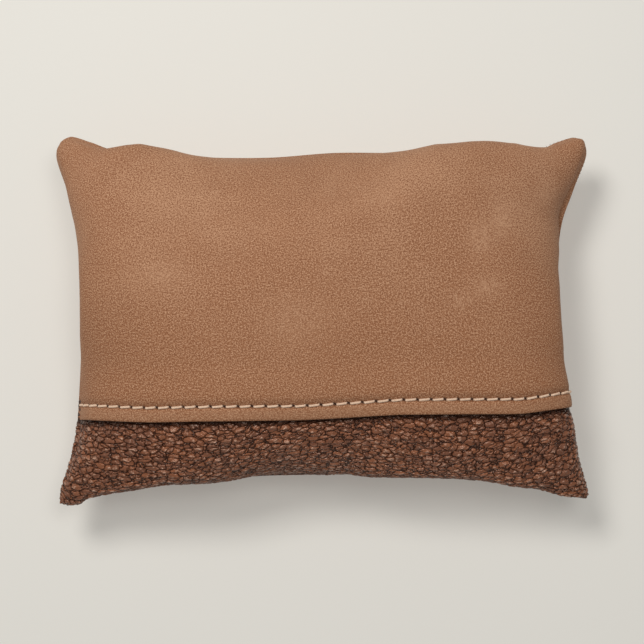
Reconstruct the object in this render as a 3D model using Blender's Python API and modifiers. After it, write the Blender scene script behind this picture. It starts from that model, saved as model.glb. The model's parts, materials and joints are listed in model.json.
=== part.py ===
"""Lumbar throw pillow: a two-tone leather cover with a topstitched hem and a bottom zip, round a fibre insert.

Metres, +Z up. The pillow lies on its back. X runs along its long sides, +Y to its top edge, and the origin is
under its middle, on the surface that it lies on. The zip is in the bottom seam, on the -Y side.
"""

import math

import bmesh
import bpy
import numpy as np
from mathutils import Matrix, Vector

MM = 0.001

# Whole pillow
SEAM_HEIGHT = 58.0 * MM  # the seam's plane, over the surface that the pillow lies on
FRONT_CROWN = 62.7 * MM  # rise of the front over the top of its rim
BACK_CROWN = 62.0 * MM  # drop of the back under its rim, before the floor flattens it
LEATHER = 1.2 * MM
PIECE_GAP = 0.3 * MM
WELD = 0.02 * MM  # points nearer to each other than this are made one

# Seam round the edge: each panel turns inwards as an allowance, and the thread lies between the two
ALLOWANCE = 8.0 * MM
SEAM_GAP = 0.6 * MM  # from the seam's plane to each allowance
RIM_RISE = 2 * LEATHER + PIECE_GAP  # a panel over its own allowance
THREAD_DEPTH = 3.0 * MM
SEAM_THREAD_RADIUS = 0.3 * MM
SEAM_THREAD_END_ROOM = 3.0 * MM  # from where the seam has closed past the zip to the thread's ends

# Zip, along a shallow arc in the bottom seam
ZIP_ARC_RADIUS = 1500.0 * MM
ZIP_MIDDLE_X = 16.0 * MM
ZIP_MIDDLE_Y = -117.5 * MM  # the seam line at the middle of the arc
ZIP_HALF_ANGLE = math.radians(5.5)
ZIP_CENTRE = Vector((ZIP_MIDDLE_X, ZIP_MIDDLE_Y - ZIP_ARC_RADIUS, SEAM_HEIGHT))
ZIP_SEAM_GAP = 1.6 * MM
ZIP_ALLOWANCE = 1.8 * MM
ZIP_FADE = (8.0 * MM, 24.0 * MM)  # where the seam closes, past each end
ZIP_SHARE_TOP = 0.08  # the share of the pillow's height over which the zip stops shaping its panels

# Depths of the zip's layers behind the seam line, and half heights from the seam's plane
OUTER_PLATE = (2.2 * MM, 3.2 * MM)
TEETH = (3.5 * MM, 4.85 * MM)
TAPE_DEPTH = 5.45 * MM
TAPE_THICKNESS = 0.5 * MM
INNER_PLATE = (6.05 * MM, 7.05 * MM)
SLIDER_LENGTH = 9.0 * MM
SLIDER_HALF_HEIGHT = 3.4 * MM
SLIDER_LIP = 0.6 * MM
SLIDER_OVERLAP = 0.2 * MM  # how far each piece of the slider runs into the next
POST_HALF_HEIGHT = 0.35 * MM
POST_LENGTH = 2.5 * MM
TOOTH_TIP = 0.65 * MM
TOOTH_ROOT = 1.45 * MM
ROW_OUTER = 2.45 * MM
TOOTH_PITCH = 2.9 * MM
TOOTH_SHARE = 0.45
# Where the tape runs: (height from the seam's plane, depth behind the seam line)
TAPE_PROFILE = [(0.65 * MM, TAPE_DEPTH), (4.4 * MM, TAPE_DEPTH), (9.0 * MM, 5.2 * MM), (13.0 * MM, 6.2 * MM)]
STOP_LENGTH = 2.4 * MM
ZIP_STOP_ROOM = 3.4 * MM  # from each end of the tapes to the tooth rows
ZIP_STITCH_HEIGHT = 10.5 * MM
ZIP_STITCH_DEPTH = 4.7 * MM
ZIP_STITCH_RADIUS = 0.25 * MM

# Pull tab, which swings on the slider's crown
CROWN_PIVOT_DEPTH = -0.9 * MM  # in front of the seam line
CROWN_OUTER_RADIUS = 1.6 * MM
CROWN_HOLE_RADIUS = 0.9 * MM
CROWN_HALF_HEIGHT = 0.6 * MM
TAB_BAR = 0.8 * MM  # square section of the bar in the crown's hole
TAB_LENGTH = 20.0 * MM
TAB_WIDTH = 4.8 * MM
TAB_ARM = 1.1 * MM
TAB_HOLE_RADIUS = 1.1 * MM
TAB_WINDOW = 3.6 * MM  # how far the open yoke runs from the bar
TAB_CHAMFER = 0.3 * MM
SLIDER_REST_ANGLE = ZIP_HALF_ANGLE - math.radians(0.33)  # shut, clear of the top stops

# Hem of the upper panel: distances up from its folded edge, and heights over the lower panel
HEM_RETURN = 14.0 * MM
HEM_LIFT = 0.6 * MM
HEM_FACE = 3.3 * MM
HEM_FOLD_RADIUS = (HEM_FACE - HEM_LIFT) / 2
HEM_SETTLE = 28.0 * MM  # where the upper panel is down at the level of the lower one
UNDERLAP = 17.0 * MM
TOPSTITCH_FROM_EDGE = 11.0 * MM
TOPSTITCH_PITCH = 10.0 * MM
TOPSTITCH_RADIUS = 0.6 * MM
TOPSTITCH_RISE = 0.7 * MM
BOBBIN_RADIUS = 0.3 * MM
BOBBIN_GAP = 0.8 * MM
TOPSTITCH_END_ROOM = 20.0 * MM
NEEDLE_RUN = (0.035, 0.965)  # shares of the pillow's width
BOBBIN_RUN = (0.06, 0.94)
HEM_LEFT_Y = -76.5 * MM
HEM_RIGHT_Y = -70.5 * MM
HEM_RISE_X = (-60.0 * MM, 80.0 * MM)  # where the edge climbs from its left height to its right one
HEM_TURN_X = (140.0 * MM, 200.0 * MM)  # where it turns up again towards the right seam
HEM_TURN_RISE = 4.0 * MM

# Insert
INSERT_INSET = 14.0 * MM  # its edge inside the seam line
INSERT_SLACK = 3.4 * MM  # its crown under the cover's inner face
CASING = 0.4 * MM
CASING_RIM = 0.7 * MM  # from the seam's plane to each casing's edge
FILL_GAP = 1.0 * MM
CLOSING_STITCH_HALF = 70.0 * MM
CLOSING_STITCH_RADIUS = 0.25 * MM

# How finely shapes are divided
CURVE_STEPS = 12
ROUND_POINTS = 13
ZIP_POINTS = 17
DISC_SEGMENTS = 16
NORMAL_STEP = 0.01
COLUMNS = 36
BACK_ROWS = 14
UPPER_ROWS = 10
LOWER_ROWS = 6
INSERT_COLUMNS = 16
INSERT_ROWS = 10

# Seam line between the corners, in millimetres, each side from its left or lower corner
CORNERS = {"bottom_left": (-200.2, -139.5), "bottom_right": (202.6, -135.6),
           "top_left": (-199.3, 135.8), "top_right": (200.4, 137.6)}
TOP_SIDE = [(-192.0, 141.4), (-176.0, 137.0), (-160.0, 131.6), (-143.0, 133.2), (-112.0, 129.6), (-90.0, 125.6),
            (-40.0, 125.2), (10.0, 128.8), (62.0, 129.2), (98.0, 133.8), (127.0, 136.6), (163.0, 132.0),
            (178.0, 136.8), (192.0, 140.6)]
LEFT_SIDE = [(-199.4, -128.0), (-192.6, -106.0), (-187.6, -82.0), (-185.4, -50.0), (-183.8, 0.0), (-184.2, 35.0),
             (-187.4, 68.0), (-194.4, 97.0), (-203.4, 125.0)]
RIGHT_SIDE = [(203.4, -127.6), (196.2, -101.0), (189.6, -74.0), (184.6, -34.0), (180.6, 2.0), (180.4, 30.0),
              (183.2, 70.0), (193.0, 99.6), (202.6, 124.0)]
BOTTOM_LEFT_RUN = [(-186.5, -140.6), (-170.0, -132.2)]
BOTTOM_RIGHT_RUN = [(184.0, -132.6)]


def smoothstep(x, low, high):
    """0 below low, 1 above high, and smooth between."""
    t = min(1.0, max(0.0, (x - low) / (high - low)))
    return t * t * (3 - 2 * t)


def zip_point(angle, depth=0.0, height=0.0):
    """A point on the zip: turned by angle along its arc, depth behind the seam line, height over the seam's plane."""
    reach = ZIP_ARC_RADIUS + depth
    return ZIP_CENTRE + Vector((reach * math.sin(angle), reach * math.cos(angle), height))


def curve_through(points):
    """A dense Catmull-Rom polyline through 2D points."""
    p = np.array([points[0], *points, points[-1]], float)
    dense = []
    for k in range(1, len(p) - 2):
        for t in np.arange(CURVE_STEPS) / CURVE_STEPS:
            dense.append(0.5 * (2 * p[k] + (p[k + 1] - p[k - 1]) * t
                                + (2 * p[k - 1] - 5 * p[k] + 4 * p[k + 1] - p[k + 2]) * t**2
                                + (3 * p[k] - p[k - 1] - 3 * p[k + 1] + p[k + 2]) * t**3))
    return np.array([*dense, p[-1]])


class Outline:
    """The seam line: four sides, each read by the fraction of its own length."""

    def __init__(self):
        """Draws the four sides between the corners, with the zip's arc in the bottom one."""
        arc = [zip_point(a)[:2] for a in np.linspace(-ZIP_HALF_ANGLE, ZIP_HALF_ANGLE, ROUND_POINTS)]
        corner = {name: np.array(xy) * MM for name, xy in CORNERS.items()}
        self.corner = corner
        self.side = {
            "bottom": self.measured([corner["bottom_left"], *self.metres(BOTTOM_LEFT_RUN), *arc,
                                     *self.metres(BOTTOM_RIGHT_RUN), corner["bottom_right"]]),
            "top": self.measured([corner["top_left"], *self.metres(TOP_SIDE), corner["top_right"]]),
            "left": self.measured([corner["bottom_left"], *self.metres(LEFT_SIDE), corner["top_left"]]),
            "right": self.measured([corner["bottom_right"], *self.metres(RIGHT_SIDE), corner["top_right"]]),
        }
        every = np.concatenate([line for line, _ in self.side.values()])
        self.half = (every.max(0) - every.min(0)) / 2

    @staticmethod
    def metres(points):
        """Points given in millimetres, in metres."""
        return [np.array(p) * MM for p in points]

    @staticmethod
    def measured(points):
        """The curve through the points, and the share of its length at each of its own points."""
        line = curve_through(points)
        along = np.concatenate([[0], np.cumsum(np.linalg.norm(np.diff(line, axis=0), axis=1))])
        return line, along / along[-1]

    def at(self, side, fraction):
        """The point of a side at a fraction of its length."""
        line, along = self.side[side]
        return np.array([np.interp(fraction, along, line[:, k]) for k in (0, 1)])

    def inside(self, u, v):
        """The point at fractions u across and v up, blended from the four sides."""
        c = self.corner
        across = (1 - v) * self.at("bottom", u) + v * self.at("top", u)
        upward = (1 - u) * self.at("left", v) + u * self.at("right", v)
        flat = ((1 - u) * (1 - v) * c["bottom_left"] + u * (1 - v) * c["bottom_right"]
                + (1 - u) * v * c["top_left"] + u * v * c["top_right"])
        return across + upward - flat


OUTLINE = Outline()


def zip_share(point, v):
    """1 on the zip's stretch of the bottom seam, 0 away from it."""
    angle = math.atan2(point[0] - ZIP_CENTRE.x, point[1] - ZIP_CENTRE.y)
    past_end = (abs(angle) - ZIP_HALF_ANGLE) * ZIP_ARC_RADIUS
    return (1 - smoothstep(past_end, *ZIP_FADE)) * (1 - smoothstep(v, 0.0, ZIP_SHARE_TOP))


def across(angle):
    """An angle from 0 to pi across the pillow, as a fraction of its width: rows crowd towards the edges."""
    return (1 - math.cos(angle)) / 2


def cover_point(side, a, b, ring=0):
    """A point on the cover's outer face at angles a and b. side is 1 on the front and -1 on the back.
    ring 1 is the fold at the seam, and ring 2 is the inner end of the allowance."""
    u, v = across(a), across(b)
    xy = OUTLINE.inside(u, v)
    share = zip_share(xy, v)
    gap = SEAM_GAP + (ZIP_SEAM_GAP - SEAM_GAP) * share
    if ring == 2:
        turned = ALLOWANCE + (ZIP_ALLOWANCE - ALLOWANCE) * share
        xy = xy * (1 - turned / OUTLINE.half)
    if ring:
        return Vector((*xy, SEAM_HEIGHT + side * gap))
    crown = FRONT_CROWN if side > 0 else BACK_CROWN
    z = SEAM_HEIGHT + side * (gap + RIM_RISE + crown * math.sin(a) * math.sin(b))
    return Vector((*xy, max(z, 0.0)))


def cover_normal(side, a, b):
    """The outward normal of the cover's face, read a little inside its rim."""
    margin = 3 * NORMAL_STEP
    a = min(math.pi - margin, max(margin, a))
    b = min(math.pi - margin, max(margin, b))
    along = cover_point(side, a + NORMAL_STEP, b) - cover_point(side, a - NORMAL_STEP, b)
    up = cover_point(side, a, b + NORMAL_STEP) - cover_point(side, a, b - NORMAL_STEP)
    return side * along.cross(up).normalized()


def raised(side, a, b, offset):
    """A point over or under the cover's outer face."""
    return cover_point(side, a, b) + cover_normal(side, a, b) * offset


def hem_angle(a, distance=0.0):
    """The angle up the front of a line that lies distance above the hem's folded edge."""
    u = across(a)
    x = (u - 0.5) * 2 * OUTLINE.half[0]
    y = HEM_LEFT_Y + (HEM_RIGHT_Y - HEM_LEFT_Y) * smoothstep(x, *HEM_RISE_X)
    y += HEM_TURN_RISE * smoothstep(x, *HEM_TURN_X)
    low, high = OUTLINE.at("bottom", u)[1], OUTLINE.at("top", u)[1]
    b = math.acos(1 - 2 * (y - low) / (high - low))
    travel = math.hypot((high - low) / 2 * math.sin(b), FRONT_CROWN * math.sin(a) * math.cos(b))
    return b + distance / travel


def material(name, colour, roughness, metallic=0.0):
    """A plain material under the name of the slot that it fills."""
    made = bpy.data.materials.new(name)
    made.use_nodes = True
    shader = made.node_tree.nodes["Principled BSDF"]
    shader.inputs["Base Color"].default_value = (*colour, 1)
    shader.inputs["Roughness"].default_value = roughness
    shader.inputs["Metallic"].default_value = metallic
    return made


def placed(name, mesh, finish):
    """The mesh as an object of the pillow's collection, with its material."""
    obj = bpy.data.objects.new(name, mesh)
    bpy.data.collections["throw_pillow"].objects.link(obj)
    mesh.materials.append(finish)
    return obj


def sheet(name, finish, rows, keep=lambda column, row: True):
    """An open sheet through a grid of points, one list for each row, with coincident points made one."""
    grid = bmesh.new()
    bmesh.ops.create_grid(grid, x_segments=len(rows[0]) - 1, y_segments=len(rows) - 1, size=1)
    grid.verts.ensure_lookup_table()
    columns = len(rows[0])
    unwanted = []
    for face in grid.faces:
        corner = min(vertex.index for vertex in face.verts)
        if not keep(corner % columns, corner // columns):
            unwanted.append(face)
    for index, vertex in enumerate(grid.verts):
        vertex.co = rows[index // columns][index % columns]
    bmesh.ops.delete(grid, geom=unwanted, context="FACES")
    bmesh.ops.remove_doubles(grid, verts=grid.verts, dist=WELD)
    mesh = bpy.data.meshes.new(name)
    grid.to_mesh(mesh)
    grid.free()
    return placed(name, mesh, finish)


def thicken(obj, thickness, offset=-1.0):
    """Gives a sheet its thickness, on the side away from its normals where offset is -1."""
    solid = obj.modifiers.new("thickness", "SOLIDIFY")
    solid.thickness = thickness
    solid.offset = offset
    solid.use_even_offset = True
    return obj


def tube(name, finish, points, radius, resolution=0):
    """A thread: a POLY curve with a round section and filled ends."""
    curve = bpy.data.curves.new(name, "CURVE")
    curve.dimensions = "3D"
    curve.bevel_depth = radius
    curve.bevel_resolution = resolution
    curve.use_fill_caps = True
    spline = curve.splines.new("POLY")
    spline.points.add(len(points) - 1)
    for point, place in zip(spline.points, points):
        point.co = (*place, 1)
    obj = bpy.data.objects.new(name, curve)
    bpy.data.collections["throw_pillow"].objects.link(obj)
    curve.materials.append(finish)
    return obj


def plate(name, finish, outlines, half_thickness):
    """A flat plate with the given outlines, the later ones being holes in the first."""
    curve = bpy.data.curves.new(name, "CURVE")
    curve.dimensions = "2D"
    curve.fill_mode = "BOTH"
    curve.extrude = half_thickness
    for outline in outlines:
        spline = curve.splines.new("POLY")
        spline.points.add(len(outline) - 1)
        for point, (x, y) in zip(spline.points, outline):
            point.co = (x, y, 0, 1)
        spline.use_cyclic_u = True
    shape = bpy.data.objects.new(name + "_outline", curve)
    bpy.data.collections["throw_pillow"].objects.link(shape)
    bpy.context.view_layer.update()
    mesh = bpy.data.meshes.new_from_object(shape.evaluated_get(bpy.context.evaluated_depsgraph_get()))
    bpy.data.objects.remove(shape)
    body = bmesh.new()
    body.from_mesh(mesh)
    bmesh.ops.remove_doubles(body, verts=body.verts, dist=WELD / 2)
    bmesh.ops.recalc_face_normals(body, faces=body.faces)
    body.to_mesh(mesh)
    body.free()
    return placed(name, mesh, finish)


def box_mesh(name, size, centre):
    """A box's mesh."""
    body = bmesh.new()
    bmesh.ops.create_cube(body, size=1, matrix=Matrix.Translation(centre) @ Matrix.Diagonal((*size, 1)))
    mesh = bpy.data.meshes.new(name)
    body.to_mesh(mesh)
    body.free()
    return mesh


def ringed(count):
    """Angles from 0 to pi with the ring of each: the allowance's end and fold come before 0 and after pi."""
    angles = [math.pi * k / count for k in range(count + 1)]
    return [(0.0, 2), (0.0, 1)] + [(a, 0) for a in angles] + [(math.pi, 1), (math.pi, 2)]


def cover_back(finish):
    """The back panel, one sheet from seam to seam."""
    columns, rows = ringed(COLUMNS), ringed(BACK_ROWS)
    grid = [[cover_point(-1, a, b, max(ring_a, ring_b)) for a, ring_a in reversed(columns)] for b, ring_b in rows]
    return thicken(sheet("back_panel", finish, grid), LEATHER)


def cover_lower(finish):
    """The dark lower panel. It runs on under the hem for the length of its underlap."""
    columns = ringed(COLUMNS)
    steps = [k / LOWER_ROWS for k in range(LOWER_ROWS + 1)]
    grid = [[cover_point(1, a, 0.0, ring) for a, _ in columns] for ring in (2, 1)]
    grid += [[cover_point(1, a, hem_angle(a, UNDERLAP) * t, ring) for a, ring in columns] for t in steps]
    return thicken(sheet("front_lower_panel", finish, grid), LEATHER)


def hem_profile():
    """(distance up, height of the face) along the hem, from the end of its turned-under return to where it settles."""
    fold = [(HEM_FOLD_RADIUS * (1 - math.sin(t)), HEM_LIFT + HEM_FOLD_RADIUS * (1 - math.cos(t)))
            for t in (math.pi * k / 4 for k in range(5))]
    settle = [((HEM_RETURN + HEM_SETTLE) / 2, HEM_FACE / 2), (HEM_SETTLE, 0.0)]
    return [(HEM_RETURN, HEM_LIFT)] + fold + [(HEM_RETURN, HEM_FACE)] + settle


def cover_upper(finish):
    """The tan upper panel, with its lower edge turned under. The hem has no allowance at its two ends."""
    columns = ringed(COLUMNS)
    hem = hem_profile()
    grid = [[raised(1, a, hem_angle(a, up), height) for a, _ in columns] for up, height in hem[:-1]]
    for k in range(UPPER_ROWS + 1):
        row = []
        for a, ring in columns:
            start = hem_angle(a, HEM_SETTLE)
            row.append(cover_point(1, a, start + (math.pi - start) * k / UPPER_ROWS, ring))
        grid.append(row)
    grid += [[cover_point(1, a, math.pi, ring) for a, _ in columns] for ring in (1, 2)]
    last = len(columns) - 2
    hem_rows = len(hem) - 1

    def keep(column, row):
        return row >= hem_rows or 2 <= column <= last - 2
    return thicken(sheet("front_upper_panel", finish, grid, keep), LEATHER)


def topstitch(needle, bobbin):
    """The needle thread over the hem, with a crest for each stitch, and the bobbin thread under the lower panel."""
    length = 2 * OUTLINE.half[0] - 2 * TOPSTITCH_END_ROOM
    stitches = round(length / TOPSTITCH_PITCH)
    spans = [(k / (4 * stitches), k % 4) for k in range(4 * stitches + 1)]
    low = HEM_FACE + PIECE_GAP + TOPSTITCH_RADIUS
    deep = LEATHER + BOBBIN_GAP + BOBBIN_RADIUS
    first, last = NEEDLE_RUN
    over = []
    for fraction, phase in spans:
        a = math.acos(1 - 2 * (first + (last - first) * fraction))
        height = low + (TOPSTITCH_RISE if phase in (1, 2, 3) else 0.0)
        over.append(raised(1, a, hem_angle(a, TOPSTITCH_FROM_EDGE), height))
    under = []
    first, last = BOBBIN_RUN
    for k in range(stitches + 1):
        a = math.acos(1 - 2 * (first + (last - first) * k / stitches))
        under.append(raised(1, a, hem_angle(a, TOPSTITCH_FROM_EDGE), -deep))
    tube("topstitch_needle_thread", needle, over, TOPSTITCH_RADIUS, 1)
    tube("topstitch_bobbin_thread", bobbin, under, BOBBIN_RADIUS)


def perimeter_seam(finish):
    """The thread between the allowances: from one end of the zip round the other three sides to its other end."""
    turn_in = 1 - THREAD_DEPTH / OUTLINE.half
    start = ZIP_HALF_ANGLE * ZIP_ARC_RADIUS + ZIP_FADE[1] + SEAM_THREAD_END_ROOM
    line, along = OUTLINE.side["bottom"]
    left_end = np.interp(ZIP_MIDDLE_X - start, line[:, 0], along)
    right_end = np.interp(ZIP_MIDDLE_X + start, line[:, 0], along)
    route = [("bottom", t) for t in np.linspace(left_end, 0, 4)]
    route += [("left", t) for t in np.linspace(0, 1, 15)[1:]]
    route += [("top", t) for t in np.linspace(0, 1, 23)[1:]]
    route += [("right", t) for t in np.linspace(1, 0, 15)[1:]]
    route += [("bottom", t) for t in np.linspace(1, right_end, 4)[1:]]
    points = [Vector((*(OUTLINE.at(side, t) * turn_in), SEAM_HEIGHT)) for side, t in route]
    tube("perimeter_seam_thread", finish, points, SEAM_THREAD_RADIUS)


def zip_tape(name, side, finish):
    """One woven tape, bent outwards behind the tooth row to lie along the inside of its panel."""
    angles = np.linspace(-ZIP_HALF_ANGLE, ZIP_HALF_ANGLE, ZIP_POINTS)
    rows = [[zip_point(t, depth, side * height) for t in angles] for height, depth in TAPE_PROFILE]
    if side > 0:
        rows.reverse()
    return thicken(sheet(name, finish, rows), TAPE_THICKNESS, 0.0)


def zip_row(name, side, finish):
    """One row of teeth on its rail. The two rows stand half a pitch apart, a slider's post's width from each other."""
    rail = ZIP_HALF_ANGLE - ZIP_STOP_ROOM / ZIP_ARC_RADIUS
    pitch = TOOTH_PITCH / ZIP_ARC_RADIUS
    first = -rail + pitch * (0.5 if side > 0 else 1.0)
    angles = [-rail]
    for k in range(int(2 * rail / pitch) - 1):
        angles += [first + k * pitch, first + (k + TOOTH_SHARE) * pitch]
    angles.append(rail)
    depth = (TEETH[0] + TEETH[1]) / 2
    rows = [[zip_point(t, depth, side * height) for t in angles] for height in (ROW_OUTER, TOOTH_ROOT, TOOTH_TIP)]

    def keep(column, row):
        return row == 0 or column % 2 == 1
    return thicken(sheet(name, finish, rows, keep), TEETH[1] - TEETH[0], 0.0)


def zip_frame(angle):
    """A frame on the zip: X along it, Y inwards, Z up, with its origin on the seam line."""
    return Matrix.Translation(zip_point(angle)) @ Matrix.Rotation(-angle, 4, "Z")


def zip_stop(name, angle, low, high, finish):
    """A crimped stop round the tape edges beyond the last teeth."""
    depth = (TEETH[0] + TEETH[1]) / 2
    mesh = box_mesh(name, (STOP_LENGTH, TEETH[1] - TEETH[0], high - low), (0, depth, (low + high) / 2))
    obj = placed(name, mesh, finish)
    obj.matrix_world = zip_frame(angle)
    return obj


def slider_boxes():
    """The slider body without its crown's ring, as boxes that overlap: (size, centre)."""
    outer, inner = OUTER_PLATE, INNER_PLATE
    lip_depth = TEETH[1] - outer[1]
    boxes = []
    for near, far in (outer, inner):
        boxes.append(((SLIDER_LENGTH, far - near, 2 * SLIDER_HALF_HEIGHT), (0, (near + far) / 2, 0)))
    for side in (1, -1):
        boxes.append(((SLIDER_LENGTH, lip_depth + SLIDER_OVERLAP, SLIDER_LIP),
                      (0, outer[1] + (lip_depth - SLIDER_OVERLAP) / 2, side * (SLIDER_HALF_HEIGHT - SLIDER_LIP / 2))))
    post_x = SLIDER_LENGTH / 2 - POST_LENGTH / 2
    boxes.append(((POST_LENGTH, inner[0] - outer[1] + 2 * SLIDER_OVERLAP, 2 * POST_HALF_HEIGHT),
                  (post_x, (outer[1] + inner[0]) / 2, 0)))
    neck = outer[0] - CROWN_PIVOT_DEPTH - CROWN_HOLE_RADIUS
    boxes.append(((2 * CROWN_OUTER_RADIUS, neck, 2 * CROWN_HALF_HEIGHT),
                  (0, outer[0] + SLIDER_OVERLAP - neck / 2, 0)))
    return boxes


def turned_disc(radius, height):
    """A disc's mesh on the pull tab's axis."""
    ring = bmesh.new()
    bmesh.ops.create_cone(ring, cap_ends=True, segments=DISC_SEGMENTS, radius1=radius, radius2=radius, depth=height,
                          matrix=Matrix.Translation((0, CROWN_PIVOT_DEPTH, 0)))
    mesh = bpy.data.meshes.new("slider_ring")
    ring.to_mesh(mesh)
    ring.free()
    return mesh


def zip_slider(finish):
    """The slider: two plates joined by a post, lips that hold the tooth rows, and a crown with a hole for the tab.
    Its parent empty stands on the axis that it turns about, the centre of the zip's arc."""
    axis = bpy.data.objects.new("zip_slide_axis", None)
    bpy.data.collections["throw_pillow"].objects.link(axis)
    axis.location = ZIP_CENTRE
    axis.rotation_euler.z = -SLIDER_REST_ANGLE
    boxes = slider_boxes()
    body = placed("zip_slider_body", box_mesh("zip_slider_body", *boxes[0]), finish)
    body.parent = axis
    body.location.y = ZIP_ARC_RADIUS
    joined = [(box_mesh("slider_piece", size, centre), "UNION") for size, centre in boxes[1:]]
    joined.append((turned_disc(CROWN_OUTER_RADIUS, 2 * CROWN_HALF_HEIGHT), "UNION"))
    joined.append((turned_disc(CROWN_HOLE_RADIUS, 4 * CROWN_HALF_HEIGHT), "DIFFERENCE"))
    for k, (mesh, operation) in enumerate(joined):
        piece = bpy.data.objects.new(f"slider_tool_{k}", mesh)
        bpy.data.collections["tools"].objects.link(piece)
        piece.parent = body
        piece.hide_render = True
        piece.display_type = "WIRE"
        join = body.modifiers.new(f"join_{k}", "BOOLEAN")
        join.operation = operation
        join.object = piece
    return body


def pull_tab(slider, finish):
    """The pull tab: a yoke round the crown with its bar through the crown's hole, and a rounded leaf."""
    half = TAB_WIDTH / 2
    bar = TAB_BAR / 2
    round_end = [(-TAB_LENGTH + half + half * math.cos(t), half * math.sin(t))
                 for t in np.linspace(math.pi / 2, 3 * math.pi / 2, ROUND_POINTS)]
    outside = [(bar, half - TAB_CHAMFER), (bar - TAB_CHAMFER, half), *round_end,
               (bar - TAB_CHAMFER, -half), (bar, TAB_CHAMFER - half)]
    inner = half - TAB_ARM
    window = [(-bar, inner), (-bar - TAB_WINDOW, inner), (-bar - TAB_WINDOW, -inner), (-bar, -inner)]
    pull_hole = [(-TAB_LENGTH + half + TAB_HOLE_RADIUS * math.cos(t), TAB_HOLE_RADIUS * math.sin(t))
                 for t in np.linspace(0, 2 * math.pi, ROUND_POINTS)[:-1]]
    tab = plate("zip_pull_tab", finish, [outside, window, pull_hole], bar)
    tab.parent = slider
    tab.location.y = CROWN_PIVOT_DEPTH
    tab.rotation_euler.x = math.pi / 2


def zip_stitch(name, side, finish):
    """The row of stitches that holds a tape to its panel."""
    points = [zip_point(t, ZIP_STITCH_DEPTH, side * ZIP_STITCH_HEIGHT)
              for t in np.linspace(-ZIP_HALF_ANGLE, ZIP_HALF_ANGLE, ZIP_POINTS)]
    return tube(name, finish, points, ZIP_STITCH_RADIUS)


def insert_grid(side, rim, inner=0.0):
    """Rows of points over the insert's front or back, inner behind its face, from rim above or below the seam's
    plane. They run so that a sheet through them faces out."""
    rows = []
    for b in steps(INSERT_ROWS):
        row = []
        for a in steps(INSERT_COLUMNS):
            xy = OUTLINE.inside(across(a), across(b)) * (1 - (INSERT_INSET + inner) / OUTLINE.half)
            crown = (FRONT_CROWN if side > 0 else BACK_CROWN) - INSERT_SLACK - inner
            z = SEAM_HEIGHT + side * (rim + crown * math.sin(a) * math.sin(b))
            row.append(Vector((*xy, max(z, LEATHER + 2 * PIECE_GAP + inner))))
        rows.append(row[::side])
    return rows


def steps(count):
    """Angles from 0 to pi in count equal steps."""
    return [math.pi * k / count for k in range(count + 1)]


def insert_casing(name, side, finish):
    """The front or the back of the insert's cotton casing."""
    return thicken(sheet(name, finish, insert_grid(side, CASING_RIM)), CASING)


def fibre_fill(finish):
    """The fill: one closed body inside the casing, its front and back welded along their rim."""
    inner = CASING + FILL_GAP
    front = insert_grid(1, 0.0, inner)
    back = insert_grid(-1, 0.0, inner)
    half = len(front[0])
    # One grid holds both: the front's columns, then the back's, which run the other way and meet them at each end.
    rows = [low + high for low, high in zip(front, back)]
    fill = sheet("fibre_fill", finish, rows, lambda column, row: column != half - 1)
    body = bmesh.new()
    body.from_mesh(fill.data)
    bmesh.ops.recalc_face_normals(body, faces=body.faces)
    body.to_mesh(fill.data)
    body.free()
    return fill


def closing_stitch(finish):
    """The stitch that closes the insert along its bottom edge, after it was filled."""
    clear = 1 - (INSERT_INSET - 2 * PIECE_GAP - 2 * CLOSING_STITCH_RADIUS) / OUTLINE.half
    line, along = OUTLINE.side["bottom"]
    ends = [np.interp(x, line[:, 0], along) for x in (-CLOSING_STITCH_HALF, CLOSING_STITCH_HALF)]
    points = [Vector((*(OUTLINE.at("bottom", t) * clear), SEAM_HEIGHT)) for t in np.linspace(*ends, 15)]
    return tube("insert_closing_stitch", finish, points, CLOSING_STITCH_RADIUS)


def main():
    """Clears the scene, then builds the cover, its zip and its insert."""
    for obj in list(bpy.data.objects):
        bpy.data.objects.remove(obj)
    for name in ("throw_pillow", "tools"):
        bpy.context.scene.collection.children.link(bpy.data.collections.new(name))

    tan = material("tan_nubuck", (0.33, 0.16, 0.08), 0.8)
    dark = material("dark_pebbled_leather", (0.075, 0.03, 0.018), 0.5)
    cream = material("cream_thread", (0.75, 0.55, 0.4), 0.7)
    brown = material("brown_thread", (0.09, 0.045, 0.03), 0.7)
    woven = material("zip_tape", (0.06, 0.03, 0.02), 0.85)
    nylon = material("zip_teeth", (0.05, 0.028, 0.02), 0.4)
    metal = material("aged_brass", (0.3, 0.19, 0.09), 0.35, 1.0)
    cotton = material("insert_cotton", (0.8, 0.78, 0.73), 0.9)
    fibre = material("polyester_fibre", (0.88, 0.88, 0.86), 0.95)

    cover_upper(tan)
    cover_lower(dark)
    cover_back(tan)
    topstitch(cream, cream)
    perimeter_seam(brown)
    for name, side in (("front", 1), ("back", -1)):
        zip_tape(f"zip_tape_{name}", side, woven)
        zip_row(f"zip_teeth_{name}", side, nylon)
        zip_stitch(f"zip_stitch_{name}", side, brown)
    stop_angle = ZIP_HALF_ANGLE - 0.6 * STOP_LENGTH / ZIP_ARC_RADIUS
    zip_stop("zip_bottom_stop", -stop_angle, -ROW_OUTER, ROW_OUTER, metal)
    zip_stop("zip_top_stop_front", stop_angle, TOOTH_TIP, ROW_OUTER, metal)
    zip_stop("zip_top_stop_back", stop_angle, -ROW_OUTER, -TOOTH_TIP, metal)
    pull_tab(zip_slider(metal), metal)
    insert_casing("insert_casing_front", 1, cotton)
    insert_casing("insert_casing_back", -1, cotton)
    closing_stitch(cream)
    fibre_fill(fibre)


main()
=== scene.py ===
"""Looks of the lumbar throw pillow: leather over an inflated form, hem, stitching, zip, insert and studio.

Metres, +Z up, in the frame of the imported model. The pillow lies on its back panel, with its top edge at +Y.
"""

import json
import logging
import math
from collections.abc import Sequence
from dataclasses import dataclass, field
from enum import Enum
from typing import Any

import bpy
import numpy as np
from mathutils import Matrix, Vector

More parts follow.
